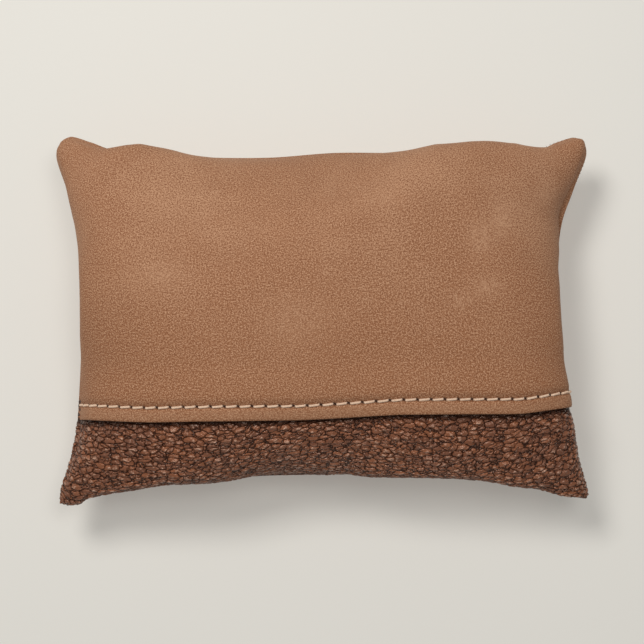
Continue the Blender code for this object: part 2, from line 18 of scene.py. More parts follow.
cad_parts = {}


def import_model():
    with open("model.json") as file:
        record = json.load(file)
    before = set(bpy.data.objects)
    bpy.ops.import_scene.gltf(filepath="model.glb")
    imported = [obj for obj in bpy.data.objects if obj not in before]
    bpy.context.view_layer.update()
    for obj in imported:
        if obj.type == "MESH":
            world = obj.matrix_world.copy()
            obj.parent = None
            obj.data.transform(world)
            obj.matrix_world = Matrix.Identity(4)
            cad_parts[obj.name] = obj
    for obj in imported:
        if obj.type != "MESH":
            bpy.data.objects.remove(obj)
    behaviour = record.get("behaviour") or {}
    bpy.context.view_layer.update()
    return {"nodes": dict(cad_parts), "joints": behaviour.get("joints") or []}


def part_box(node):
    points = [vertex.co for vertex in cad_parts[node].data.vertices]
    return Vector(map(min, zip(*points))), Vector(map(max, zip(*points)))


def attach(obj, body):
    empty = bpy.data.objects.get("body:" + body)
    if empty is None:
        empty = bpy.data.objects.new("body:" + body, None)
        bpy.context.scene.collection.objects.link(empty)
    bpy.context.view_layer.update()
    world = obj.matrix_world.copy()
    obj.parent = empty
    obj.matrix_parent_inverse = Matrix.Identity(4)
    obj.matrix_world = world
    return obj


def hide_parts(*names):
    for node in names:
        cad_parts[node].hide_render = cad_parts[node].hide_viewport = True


MM = 0.001
SPAN_POINTS = 16  # points of a seam line between two of its given points
ARC_POINTS = 13  # points of the seam line along the zip
LOG = logging.getLogger("throw_pillow")
Array = np.ndarray
Colour = tuple[float, float, float]
Pair = tuple[float, float]


class Side(Enum):
    """Which face of the pillow a layer belongs to."""

    FRONT = 1
    BACK = -1


def smoothstep(x: Any, low: float, high: float) -> Any:
    """A smooth rise from 0 at low to 1 at high.

    Args:
        x: A number or an array.
        low: Where the rise starts.
        high: Where it ends.

    Returns:
        The same shape as x, from 0 to 1.
    """
    t = np.clip((np.asarray(x, float) - low) / (high - low), 0.0, 1.0)
    return t * t * (3 - 2 * t)


def unit(vectors: Array) -> Array:
    """Scales vectors, held along the last axis, to length 1."""
    return vectors / np.maximum(np.linalg.norm(vectors, axis=-1, keepdims=True), 1e-12)


def ripple(along: Array, waves: Sequence[tuple[float, float, float]]) -> Array:
    """A sum of sines that reads as an irregular wave.

    Args:
        along: Distance, in metres.
        waves: (wavelength in metres, phase in radians, share) of each sine.

    Returns:
        Values of about -1 to 1.
    """
    return sum(share * np.sin(2 * math.pi * along / length + phase) for length, phase, share in waves)


# --------------------------------------
# The form: seam line, inflated bag, and the surface that the panels follow
# --------------------------------------


@dataclass(frozen=True)
class SeamLine:
    """The seam's line in plan, in millimetres: four sides, each through a few points.

    The middle of the bottom side is the zip's arc.
    """

    corners: dict[str, tuple[float, float]] = field(default_factory=lambda: {
        "bottom_left": (-200.2, -139.5), "bottom_right": (202.6, -135.6),
        "top_left": (-199.3, 135.8), "top_right": (200.4, 137.6)})
    top: tuple = ((-192.0, 141.4), (-176.0, 137.0), (-160.0, 131.6), (-143.0, 133.2), (-112.0, 129.6),
                  (-90.0, 125.6), (-40.0, 125.2), (10.0, 128.8), (62.0, 129.2), (98.0, 133.8), (127.0, 136.6),
                  (163.0, 132.0), (178.0, 136.8), (192.0, 140.6))
    left: tuple = ((-199.4, -128.0), (-192.6, -106.0), (-187.6, -82.0), (-185.4, -50.0), (-183.8, 0.0),
                   (-184.2, 35.0), (-187.4, 68.0), (-194.4, 97.0), (-203.4, 125.0))
    right: tuple = ((203.4, -127.6), (196.2, -101.0), (189.6, -74.0), (184.6, -34.0), (180.6, 2.0),
                    (180.4, 30.0), (183.2, 70.0), (193.0, 99.6), (202.6, 124.0))
    bottom_left_run: tuple = ((-186.5, -140.6), (-170.0, -132.2))
    bottom_right_run: tuple = ((184.0, -132.6),)
    half: Pair = (0.2035, 0.141)

    @staticmethod
    def through(points: Sequence[Sequence[float]]) -> tuple[Array, Array]:
        """A Catmull-Rom line through points.

        Args:
            points: The points, in metres.

        Returns:
            The dense line, and the fraction of its length at each of its points.
        """
        p = np.array([points[0], *points, points[-1]], float)
        t = (np.arange(SPAN_POINTS) / SPAN_POINTS)[:, None]
        spans = [0.5 * (2 * p[k] + (p[k + 1] - p[k - 1]) * t
                        + (2 * p[k - 1] - 5 * p[k] + 4 * p[k + 1] - p[k + 2]) * t**2
                        + (3 * p[k] - p[k - 1] - 3 * p[k + 1] + p[k + 2]) * t**3)
                 for k in range(1, len(p) - 2)]
        line = np.concatenate([*spans, p[-1:]])
        run = np.concatenate([[0], np.cumsum(np.linalg.norm(np.diff(line, axis=0), axis=1))])
        return line, run / run[-1]

    def side(self, name: str, zipper: "ZipPath") -> tuple[Array, Array]:
        """The line of one side, from its left or lower corner.

        Args:
            name: bottom, top, left or right.
            zipper: The arc that the middle of the bottom follows.

        Returns:
            The dense line, and the fraction of its length at each of its points.
        """
        c = {key: np.array(xy) * MM for key, xy in self.corners.items()}
        scaled = {key: [np.array(xy) * MM for xy in getattr(self, key)]
                  for key in ("top", "left", "right", "bottom_left_run", "bottom_right_run")}
        angles = np.linspace(-zipper.half_angle, zipper.half_angle, ARC_POINTS)
        zip_run = [zipper.point(angle)[:2] for angle in angles]
        runs = {
            "bottom": [c["bottom_left"], *scaled["bottom_left_run"], *zip_run, *scaled["bottom_right_run"],
                       c["bottom_right"]],
            "top": [c["top_left"], *scaled["top"], c["top_right"]],
            "left": [c["bottom_left"], *scaled["left"], c["top_left"]],
            "right": [c["bottom_right"], *scaled["right"], c["top_right"]],
        }
        return self.through(runs[name])


@dataclass(frozen=True)
class ZipPath:
    """The zip's shallow arc in the bottom seam, about the axis of the joint that the slider turns on."""

    centre: tuple[float, float, float]
    radius: float = 1.5
    half_angle: float = math.radians(5.5)
    rest_angle: float = math.radians(5.5 - 0.33)

    def point(self, angle: Any, depth: Any = 0.0, height: Any = 0.0) -> Array:
        """A point on the zip.

        Args:
            angle: How far round the arc, in radians, positive towards +X.
            depth: How far behind the seam line.
            height: How far over the seam's plane.

        Returns:
            The point, or points along the last axis.
        """
        angle, depth, height = np.broadcast_arrays(*(np.asarray(x, float) for x in (angle, depth, height)))
        reach = self.radius + depth
        return np.stack([self.centre[0] + reach * np.sin(angle), self.centre[1] + reach * np.cos(angle),
                         self.centre[2] + height], axis=-1)

    def stand(self, angle: float) -> Matrix:
        """A frame on the seam line: X along the zip, Y into the pillow, Z up."""
        return Matrix.Translation(Vector(self.point(angle))) @ Matrix.Rotation(-angle, 4, "Z")


@dataclass(frozen=True)
class InflatedBag:
    """Two flat sheets sewn at their edges and inflated as cloth, for the crown, the ears and the wrinkles."""

    columns: int = 88
    rows: int = 66
    flat: Pair = (0.43, 0.318)
    bow: float = 0.006
    plain_rise: float = 10.0
    enlarge: float = 5.0
    pressure: float = 1.2
    volume: float = 0.0050
    frames: int = 40

    def flat_sheet(self, side: Side) -> Array:
        """The sheet before it is inflated, bowed by a few millimetres.

        Args:
            side: Front or back.

        Returns:
            Points of shape (rows + 1, columns + 1, 3).
        """
        u, v = np.meshgrid(np.linspace(0, 1, self.columns + 1), np.linspace(0, 1, self.rows + 1))
        share = np.sqrt(16 * u * (1 - u) * v * (1 - v))
        rise = side.value * self.bow * share
        return np.stack([(u - 0.5) * self.flat[0], (v - 0.5) * self.flat[1], rise], -1)

    def inflated(self) -> tuple[Array, Array]:
        """The bag's two faces after the simulation.

        Returns:
            The front's points and the back's, each of shape (rows + 1, columns + 1, 3).
        """
        front, back = self.flat_sheet(Side.FRONT), self.flat_sheet(Side.BACK)
        at_front = np.arange(front.shape[0] * front.shape[1]).reshape(front.shape[:2])
        inner = np.zeros(at_front.shape, bool)
        inner[1:-1, 1:-1] = True
        at_back = at_front.copy()
        at_back[inner] = at_front.size + np.arange(inner.sum())
        points = np.concatenate([front.reshape(-1, 3), back[inner]]) * self.enlarge
        quads = np.concatenate([grid_quads(at_front), grid_quads(at_back)[:, ::-1]])
        bag = add_mesh("bag", points, quads)
        self.sew(bag)
        scene = bpy.context.scene
        for frame_number in range(1, self.frames + 1):
            scene.frame_set(frame_number)
        settled = bag.evaluated_get(bpy.context.evaluated_depsgraph_get()).data
        found = read_points(settled) / self.enlarge
        scene.frame_set(1)
        bpy.data.objects.remove(bag)
        return found[at_front], found[at_back]

    def sew(self, bag: bpy.types.Object) -> None:
        """Gives the bag its cloth.

        Args:
            bag: The flat bag, which gets the modifier.
        """
        cloth = bag.modifiers.new("inflate", "CLOTH")
        leather = cloth.settings
        leather.quality = 6
        leather.mass = 0.15
        leather.tension_stiffness = leather.compression_stiffness = 60
        leather.shear_stiffness = 36
        leather.bending_stiffness = 1.5
        leather.tension_damping = leather.compression_damping = leather.shear_damping = 25
        leather.bending_damping = 4
        leather.air_damping = 6
        leather.use_pressure = True
        leather.uniform_pressure_force = self.pressure
        leather.use_pressure_volume = True
        leather.target_volume = self.volume * self.enlarge**3
        leather.effector_weights.gravity = 0
        cloth.collision_settings.use_collision = False
        cloth.point_cache.frame_start = 1
        cloth.point_cache.frame_end = self.frames


def grid_quads(index: Array) -> Array:
    """Quads over a grid of vertex indices, facing up where columns run to +X and rows to +Y.

    Args:
        index: Vertex indices, in rows and columns.

    Returns:
        The quads, one per row.
    """
    return np.stack([index[:-1, :-1], index[:-1, 1:], index[1:, 1:], index[1:, :-1]], -1).reshape(-1, 4)


def read_points(mesh: bpy.types.Mesh) -> Array:
    """The vertices of a mesh as an array.

    Args:
        mesh: The mesh.

    Returns:
        Points of shape (vertices, 3).
    """
    flat = np.empty(len(mesh.vertices) * 3, np.float32)
    mesh.vertices.foreach_get("co", flat)
    return flat.reshape(-1, 3).astype(float)


def add_mesh(name: str, points: Array, faces: Array | list, hide: Array | None = None) -> bpy.types.Object:
    """Makes a smooth-shaded mesh object.

    Args:
        name: The object's name.
        points: Vertices, in metres.
        faces: Vertex indices of each face.
        hide: Each vertex's place on the flat leather, in metres, for the grain to follow.

    Returns:
        The new object, linked to the scene.
    """
    mesh = bpy.data.meshes.new(name)
    faces = faces.tolist() if isinstance(faces, np.ndarray) else faces
    mesh.from_pydata(np.asarray(points, float).reshape(-1, 3).tolist(), [], faces)
    mesh.shade_smooth()
    if hide is not None:
        flat = np.concatenate([hide.reshape(-1, 2), np.zeros((hide.size // 2, 1))], 1)
        layer = mesh.attributes.new("hide", "FLOAT_VECTOR", "POINT")
        layer.data.foreach_set("vector", flat.astype(np.float32).ravel())
    mesh.update()
    obj = bpy.data.objects.new(name, mesh)
    bpy.context.scene.collection.objects.link(obj)
    return obj


def set_shares(obj: bpy.types.Object, name: str, values: Array) -> None:
    """Stores one number for each vertex of an object, for its material or its relief."""
    layer = obj.data.attributes.new(name, "FLOAT", "POINT")
    layer.data.foreach_set("value", np.asarray(values, np.float32).ravel())


def bake_modifiers(obj: bpy.types.Object) -> None:
    """Replaces the object's mesh by the evaluated one, so that no modifier is left.

    Args:
        obj: The object.
    """
    bpy.context.view_layer.update()
    mesh = bpy.data.meshes.new_from_object(obj.evaluated_get(bpy.context.evaluated_depsgraph_get()))
    obj.modifiers.clear()
    obj.data = mesh


@dataclass
class PillowForm:
    """The pillow's outer surface: the inflated bag, fitted to the seam line, the crown and the floor.

    The fractions u and v run from 0 to 1 across and up each face. Sizes without a unit are such fractions.
    """

    seam: SeamLine
    zipper: ZipPath
    bag: InflatedBag
    seam_height: float
    top: float
    eye_distance: float
    back_drop: float = 64.0 * MM
    floor_softness: float = 1.6 * MM
    lip_radius: float = 1.3 * MM
    seam_gap: float = 0.12 * MM
    zip_gap: float = 1.9 * MM
    zip_fade: Pair = (3 * MM, 16 * MM)
    zip_wall: float = 0.12
    allowance: float = 8.0 * MM
    zip_allowance: float = 1.35 * MM
    lip_points: int = 6
    lip_foot: float = 3.5 * MM
    pressings: int = 26
    press_share: float = 0.45
    press_fade: float = 0.16
    overhang: float = 2.8 * MM
    spread: float = 1.5 * MM
    blur: int = 9
    local: float = 0.07
    wall_reach: float = 0.14
    wall_points: int = 60
    normal_step: float = 0.003
    bulge_rise: Pair = (0.0, 0.025)
    bulge_fall: Pair = (0.06, 0.19)
    bulges: dict[str, tuple] = field(default_factory=lambda: {
        "bottom": ((170.0, 33.0, 5.0), (-166.0, 34.0, 4.0), (-38.0, 88.0, 2.2), (10.0, 40.0, 1.6)),
        "top": ((-20.0, 105.0, 1.8), (200.0, 14.0, 2.0)),
        "left": ((-117.0, 16.0, 2.0), (-50.0, 40.0, 1.0)),
        "right": ((-48.0, 24.0, -1.6), (60.0, 16.0, 2.0), (120.0, 26.0, 1.6)),
    })
    faces: dict[Side, Array] = field(default_factory=dict)
    limits: dict[str, tuple[Array, Array]] = field(default_factory=dict)

    def __post_init__(self) -> None:
        """Inflates the bag and fits both of its faces."""
        for name, axis in (("left", 1), ("right", 1), ("bottom", 0), ("top", 0)):
            line = self.seam.side(name, self.zipper)[0]
            order = np.argsort(line[:, axis])
            self.limits[name] = line[order, axis], line[order, 1 - axis]
        front, back = self.bag.inflated()
        rise = self.top - self.seam_height - self.lip_radius - self.seam_gap
        for side, face, height in ((Side.FRONT, front, rise), (Side.BACK, back, self.back_drop)):
            fitted = self.fitted(self.relaxed(face))
            fitted[..., 2] *= height / np.abs(fitted[..., 2]).max()
            self.faces[side] = fitted

    def relaxed(self, face: Array) -> Array:
        """The face with its fine wrinkles pressed out along each edge, which keeps the walls steep.

        Args:
            face: Points in rows and columns.

        Returns:
            The calmer points, with the same edge.
        """
        calm = face.copy()
        rows, columns = face.shape[:2]
        far = [smoothstep(np.minimum(t, 1 - t), 0.0, self.press_fade)[1:-1]
               for t in (np.linspace(0, 1, columns), np.linspace(0, 1, rows))]
        for _ in range(self.pressings):
            middle = calm[1:-1, 1:-1]
            along = (calm[1:-1, :-2] + calm[1:-1, 2:]) / 2 - middle
            upward = (calm[:-2, 1:-1] + calm[2:, 1:-1]) / 2 - middle
            pressed = far[0][None, :, None] * along + far[1][:, None, None] * upward
            calm[1:-1, 1:-1] = middle + self.press_share * pressed
        return calm

    def fitted(self, face: Array) -> Array:
        """The face moved so that its edge lies on the seam line, inner points by a blend of the edges' moves.

        Args:
            face: Points in rows and columns.

        Returns:
            The moved points.
        """
        rows, columns = face.shape[:2]
        u, v = np.linspace(0, 1, columns), np.linspace(0, 1, rows)
        sides = {name: self.seam.side(name, self.zipper) for name in ("bottom", "top", "left", "right")}
        edge = {"bottom": face[0], "top": face[-1], "left": face[:, 0], "right": face[:, -1]}
        move, extra = {}, {}
        kernel = np.hanning(2 * self.blur + 3)[1:-1, None]
        kernel /= kernel.sum()
        for name, (line, along) in sides.items():
            at = u if name in ("bottom", "top") else v
            target = np.stack([np.interp(at, along, line[:, k]) for k in (0, 1)] + [0 * at], -1)
            whole = target - edge[name]
            padded = np.pad(whole, ((self.blur, self.blur), (0, 0)), mode="reflect", reflect_type="odd")
            move[name] = sum(kernel[k] * padded[k:k + len(at)] for k in range(len(kernel)))
            extra[name] = whole - move[name]
        uu, vv = u[None, :, None], v[:, None, None]
        near = {"bottom": vv, "top": 1 - vv, "left": uu, "right": 1 - uu}
        faded = {name: np.exp(-(share / self.local) ** 2) for name, share in near.items()}
        face = face + sum(faded[name] * extra[name][None] for name in ("bottom", "top"))
        face = face + sum(faded[name] * extra[name][:, None] for name in ("left", "right"))
        shift = ((1 - vv) * move["bottom"][None] + vv * move["top"][None]
                 + (1 - uu) * move["left"][:, None] + uu * move["right"][:, None]
                 - (1 - uu) * (1 - vv) * move["bottom"][0] - uu * (1 - vv) * move["bottom"][-1]
                 - (1 - uu) * vv * move["top"][0] - uu * vv * move["top"][-1])
        return face + shift

    def sample(self, side: Side, u: Array, v: Array) -> Array:
        """The fitted face between its points, by cubic interpolation.

        Args:
            side: Front or back.
            u: Fractions across, of any shape.
            v: Fractions up, of the same shape.

        Returns:
            Points, with heights from the seam's plane.
        """
        face = self.faces[side]
        weights, corners = [], []
        for fraction, count in ((v, face.shape[0]), (u, face.shape[1])):
            at = np.clip(fraction, 0, 1) * (count - 1)
            low = np.minimum(at.astype(int), count - 2)
            t = at - low
            weights.append([0.5 * (-t + 2 * t**2 - t**3), 0.5 * (2 - 5 * t**2 + 3 * t**3),
                            0.5 * (t + 4 * t**2 - 3 * t**3), 0.5 * (-t**2 + t**3)])
            corners.append([low + k for k in (-1, 0, 1, 2)])
        # One extra row and column on each side carry the edge's slope on past it.
        ring = np.pad(face, ((1, 1), (1, 1), (0, 0)), mode="reflect", reflect_type="odd")
        total = 0.0
        for row, row_weight in zip(corners[0], weights[0]):
            for column, column_weight in zip(corners[1], weights[1]):
                total = total + ring[row + 1, column + 1] * (row_weight * column_weight)[..., None]
        return total

    def held_in(self, points: Array) -> Array:
        """Points moved in plan so that, seen from above, they don't bulge past the seam line.

        Args:
            points: Points with heights from the seam's plane.

        Returns:
            The moved points.
        """
        grow = (self.eye_distance / (self.eye_distance - np.maximum(points[..., 2], 0.0)))[..., None]
        seen = points[..., :2] * grow
        held = seen.copy()
        for name, axis, sign in (("left", 0, 1), ("right", 0, -1), ("bottom", 1, 1), ("top", 1, -1)):
            at, limit = self.limits[name]
            place = seen[..., 1 - axis]
            edge = np.interp(place, at, limit) - sign * (self.spread + self.bulge(place, name))
            inside = sign * (held[..., axis] - edge)
            soft = 0.5 * (inside + np.sqrt(inside**2 + self.overhang**2)) - 0.5 * self.overhang
            held[..., axis] = edge + sign * soft
        return np.concatenate([held / grow, points[..., 2:]], -1)

    def bulge(self, place: Array, name: str) -> Array:
        """How far the leather hangs out over a seam: the sum of flat-topped bulges along it.

        Args:
            place: X of places on the bottom or top seam, or Y of places on the left or right one.
            name: The seam.

        Returns:
            A distance for each place.
        """
        return sum(depth * MM * np.exp(-(((place - middle * MM) / (reach * MM)) ** 4))
                   for middle, reach, depth in self.bulges[name])

    def gap(self, points: Array, v: Array) -> Array:
        """Half the width of the seam's opening: wider along the zip.

        Args:
            points: Points of the face.
            v: Their fractions up.

        Returns:
            A distance for each point.
        """
        return self.seam_gap + (self.zip_gap - self.seam_gap) * self.zip_share(points, v)

    def wall_depth(self, side: Side, angle: Array, height: Array) -> Array:
        """How deep the leather's wall stands behind the zip's line.

        Args:
            side: Front or back.
            angle: Places along the zip.
            height: Heights over the seam's plane, of the same shape.

        Returns:
            A depth for each place.
        """
        line, along = self.seam.side("bottom", self.zipper)
        spots = self.zipper.point(angle)
        u = np.interp(spots[..., 0], line[:, 0], along)
        v = np.linspace(0, self.wall_reach, self.wall_points)
        wall = self.point(side, *np.broadcast_arrays(u[..., None], v))
        rise = np.maximum.accumulate(np.abs(wall[..., 2] - self.seam_height), axis=-1)
        reach = np.hypot(wall[..., 0] - self.zipper.centre[0], wall[..., 1] - self.zipper.centre[1])
        flat = [np.interp(h, r, d) for h, r, d in zip(height.ravel(), rise.reshape(-1, len(v)),
                                                      (reach - self.zipper.radius).reshape(-1, len(v)))]
        return np.array(flat).reshape(height.shape)

    def zip_share(self, points: Array, v: Array) -> Array:
        """1 along the zip and 0 away from it.

        Args:
            points: Points of the face.
            v: Their fractions up.

        Returns:
            A share for each point.
        """
        angle = np.arctan2(points[..., 0] - self.zipper.centre[0], points[..., 1] - self.zipper.centre[1])
        past = (np.abs(angle) - self.zipper.half_angle) * self.zipper.radius
        return (1 - smoothstep(past, *self.zip_fade)) * (1 - smoothstep(v, 0.0, self.zip_wall))

    def point(self, side: Side, u: Array, v: Array) -> Array:
        """A point of the pillow's outer surface.

        Args:
            side: Front or back.
            u: Fractions across.
            v: Fractions up.

        Returns:
            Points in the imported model's frame.
        """
        p = self.sample(side, u, v)
        for name, share, axis, sign in (("bottom", v, 1, -1), ("top", 1 - v, 1, 1),
                                        ("left", u, 0, -1), ("right", 1 - u, 0, 1)):
            over = smoothstep(share, *self.bulge_rise) * (1 - smoothstep(share, *self.bulge_fall))
            p[..., axis] = p[..., axis] + sign * over * self.bulge(p[..., 1 - axis], name)
        p = self.held_in(p)
        p[..., 2] = self.seam_height + p[..., 2] + side.value * (self.gap(p, v) + self.lip_radius)
        soft = self.floor_softness
        settled = 0.5 * (p[..., 2] + np.sqrt(p[..., 2] ** 2 + soft**2))
        p[..., 2] = np.maximum(settled - 0.5 * soft * (1 - smoothstep(p[..., 2], 0, 8 * soft)), 0.0)
        return p

    def normal(self, side: Side, u: Array, v: Array) -> Array:
        """The outward normal of the outer surface, read a little inside the seam.

        Args:
            side: Front or back.
            u: Fractions across.
            v: Fractions up.

        Returns:
            A unit vector for each place.
        """
        step = self.normal_step
        u, v = np.clip(u, 2 * step, 1 - 2 * step), np.clip(v, 2 * step, 1 - 2 * step)
        across = self.point(side, u + step, v) - self.point(side, u - step, v)
        up = self.point(side, u, v + step) - self.point(side, u, v - step)
        return side.value * unit(np.cross(across, up))

    def inset(self, points: Array, depth: Any) -> Array:
        """Points moved in plan towards the pillow's middle.

        Args:
            points: The points.
            depth: About how far they move.

        Returns:
            The moved points.
        """
        moved = points.copy()
        for axis in (0, 1):
            moved[..., axis] *= 1 - depth / self.seam.half[axis]
        return moved

    def lip(self) -> list[tuple[float, float]]:
        """The turned edge's section, from the wall's foot inwards.

        Returns:
            Points as (depth, height over the seam's opening).
        """
        turn = [(self.lip_radius * (1 - math.cos(t)), self.lip_radius * (1 - math.sin(t)))
                for t in np.linspace(0, math.pi / 2, self.lip_points)]
        return [*turn, (self.lip_foot, 0.0), (self.allowance, 0.0)]


# --------------------------------------
# Finishes
# --------------------------------------


class Graph:
    """A node tree under construction, for a material or for geometry."""

    def __init__(self, tree: bpy.types.NodeTree) -> None:
        """Wraps a tree.

        Args:
            tree: A shader or geometry node tree.
        """
        self.tree = tree

    def add(self, kind: str, inputs: dict[Any, Any] | None = None, **settings: Any) -> bpy.types.Node:
        """Adds a node.

        Args:
            kind: The node's class name.
            inputs: What each input takes, by name or number: a socket to link, or a value.
            settings: The node's properties.

        Returns:
            The node.
        """
        node = self.tree.nodes.new(kind)
        for key, value in settings.items():
            setattr(node, key, value)
        for key, value in (inputs or {}).items():
            if isinstance(value, bpy.types.NodeSocket):
                self.tree.links.new(value, node.inputs[key])
            else:
                node.inputs[key].default_value = value
        return node

    def maths(self, operation: str, a: Any, b: Any = 0.0) -> bpy.types.NodeSocket:
        """A Math node's result."""
        return self.add("ShaderNodeMath", {0: a, 1: b}, operation=operation).outputs[0]

    def ramp(self, value: Any, low: float, high: float, to_low: float = 0.0, to_high: float = 1.0) -> Any:
        """Maps low..high smoothly to to_low..to_high, and holds the ends.

        Args:
            value: The socket that is mapped.
            low: The start of the range.
            high: Its end.
            to_low: The result at low.
            to_high: The result at high.

        Returns:
            The result's socket.
        """
        node = self.add("ShaderNodeMapRange", {0: value, 1: low, 2: high, 3: to_low, 4: to_high},
                        interpolation_type="SMOOTHSTEP")
        return node.outputs[0]

    def vector_maths(self, operation: str, a: Any, b: Any = (0.0, 0.0, 0.0), scale: float = 1.0) -> Any:
        """A Vector Math node's vector result.

        Args:
            operation: The node's operation.
            a: Its first vector, a socket or three values.
            b: Its second.
            scale: Its factor, for SCALE.

        Returns:
            The result's socket.
        """
        node = self.add("ShaderNodeVectorMath", {0: a, 1: b}, operation=operation)
        if operation == "SCALE":
            node.inputs["Scale"].default_value = scale
        return node.outputs[0]

    def noise(self, where: Any, scale: float, detail: float, rough: float, out: str = "Fac") -> Any:
        """A Noise texture's result.

        Args:
            where: The coordinate's socket, in metres.
            scale: Features per metre.
            detail: Octaves.
            rough: The share of each finer octave.
            out: Fac or Color.

        Returns:
            The result's socket.
        """
        node = self.add("ShaderNodeTexNoise",
                        {"Vector": where, "Scale": scale, "Detail": detail, "Roughness": rough})
        return node.outputs[out]

    def voronoi(self, where: Any, scale: float, feature: str, out: str = "Distance") -> Any:
        """A Voronoi texture's result.

        Args:
            where: The coordinate's socket, in metres.
            scale: Cells per metre.
            feature: F1 or DISTANCE_TO_EDGE.
            out: The name of the output.

        Returns:
            The result's socket.
        """
        node = self.add("ShaderNodeTexVoronoi", {"Vector": where, "Scale": scale}, feature=feature)
        return node.outputs[out]

    def mix(self, share: Any, first: Any, second: Any) -> Any:
        """A colour between two.

        Args:
            share: How much of the second.
            first: A colour socket, or three linear values.
            second: The same.

        Returns:
            The result's socket.
        """
        node = self.add("ShaderNodeMix", {"Factor": share}, data_type="RGBA")
        for slot, value in ((6, first), (7, second)):
            if isinstance(value, bpy.types.NodeSocket):
                self.tree.links.new(value, node.inputs[slot])
            else:
                node.inputs[slot].default_value = (*value, 1.0)
        return node.outputs[2]

    def bump(self, height: Any, distance: float, strength: float = 1.0, under: Any = None) -> Any:
        """A Bump node's normal, on top of another where one is given.

        Args:
            height: The height's socket.
            distance: What a height of 1 stands for, in metres.
            strength: How much of it shows.
            under: The normal below, or None.

        Returns:
            The normal's socket.
        """
        inputs = {"Height": height, "Distance": distance, "Strength": strength}
        if under is not None:
            inputs["Normal"] = under
        return self.add("ShaderNodeBump", inputs).outputs[0]


class Finish:
    """A material that is made from nodes: each kind says what its shader takes."""

    name: str

    def dress(self, graph: Graph, shader: bpy.types.Node) -> None:
        """Sets the shader up.

        Args:
            graph: The material's tree.
            shader: Its Principled BSDF.
        """
        raise NotImplementedError

    def material(self) -> bpy.types.Material:
        """The finish as a material, made once.

        Returns:
            The material.
        """
        made = bpy.data.materials.get(self.name + "_finish")
        if made is None:
            made = bpy.data.materials.new(self.name + "_finish")
            made.use_nodes = True
            self.dress(Graph(made.node_tree), made.node_tree.nodes["Principled BSDF"])
        return made

    def put_on(self, obj: bpy.types.Object) -> None:
        """Makes this the object's only material."""
        obj.data.materials.clear()
        obj.data.materials.append(self.material())

    @staticmethod
    def hide(graph: Graph) -> Any:
        """The place on the flat leather, in metres."""
        return graph.add("ShaderNodeAttribute", attribute_name="hide").outputs["Vector"]

    @staticmethod
    def place(graph: Graph) -> Any:
        """The place in the object's own space, in metres."""
        return graph.add("ShaderNodeTexCoord").outputs["Object"]

    @staticmethod
    def link(graph: Graph, shader: bpy.types.Node, **sockets: Any) -> None:
        """Links or sets inputs of the shader, named with underscores for spaces.

        Args:
            graph: The material's tree.
            shader: Its Principled BSDF.
            sockets: What each input takes.
        """
        for key, value in sockets.items():
            target = shader.inputs[key.replace("_", " ")]
            if isinstance(value, bpy.types.NodeSocket):
                graph.tree.links.new(value, target)
            else:
                target.default_value = (*value, 1.0) if isinstance(value, tuple) else value

def hand_over(obj: bpy.types.Object, finish: Finish, node: str, body: str = "cover") -> bpy.types.Object:
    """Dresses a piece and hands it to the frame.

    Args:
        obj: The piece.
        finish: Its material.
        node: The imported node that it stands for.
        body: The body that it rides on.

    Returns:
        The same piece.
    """
    finish.put_on(obj)
    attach(obj, body)
    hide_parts(node)
    return obj


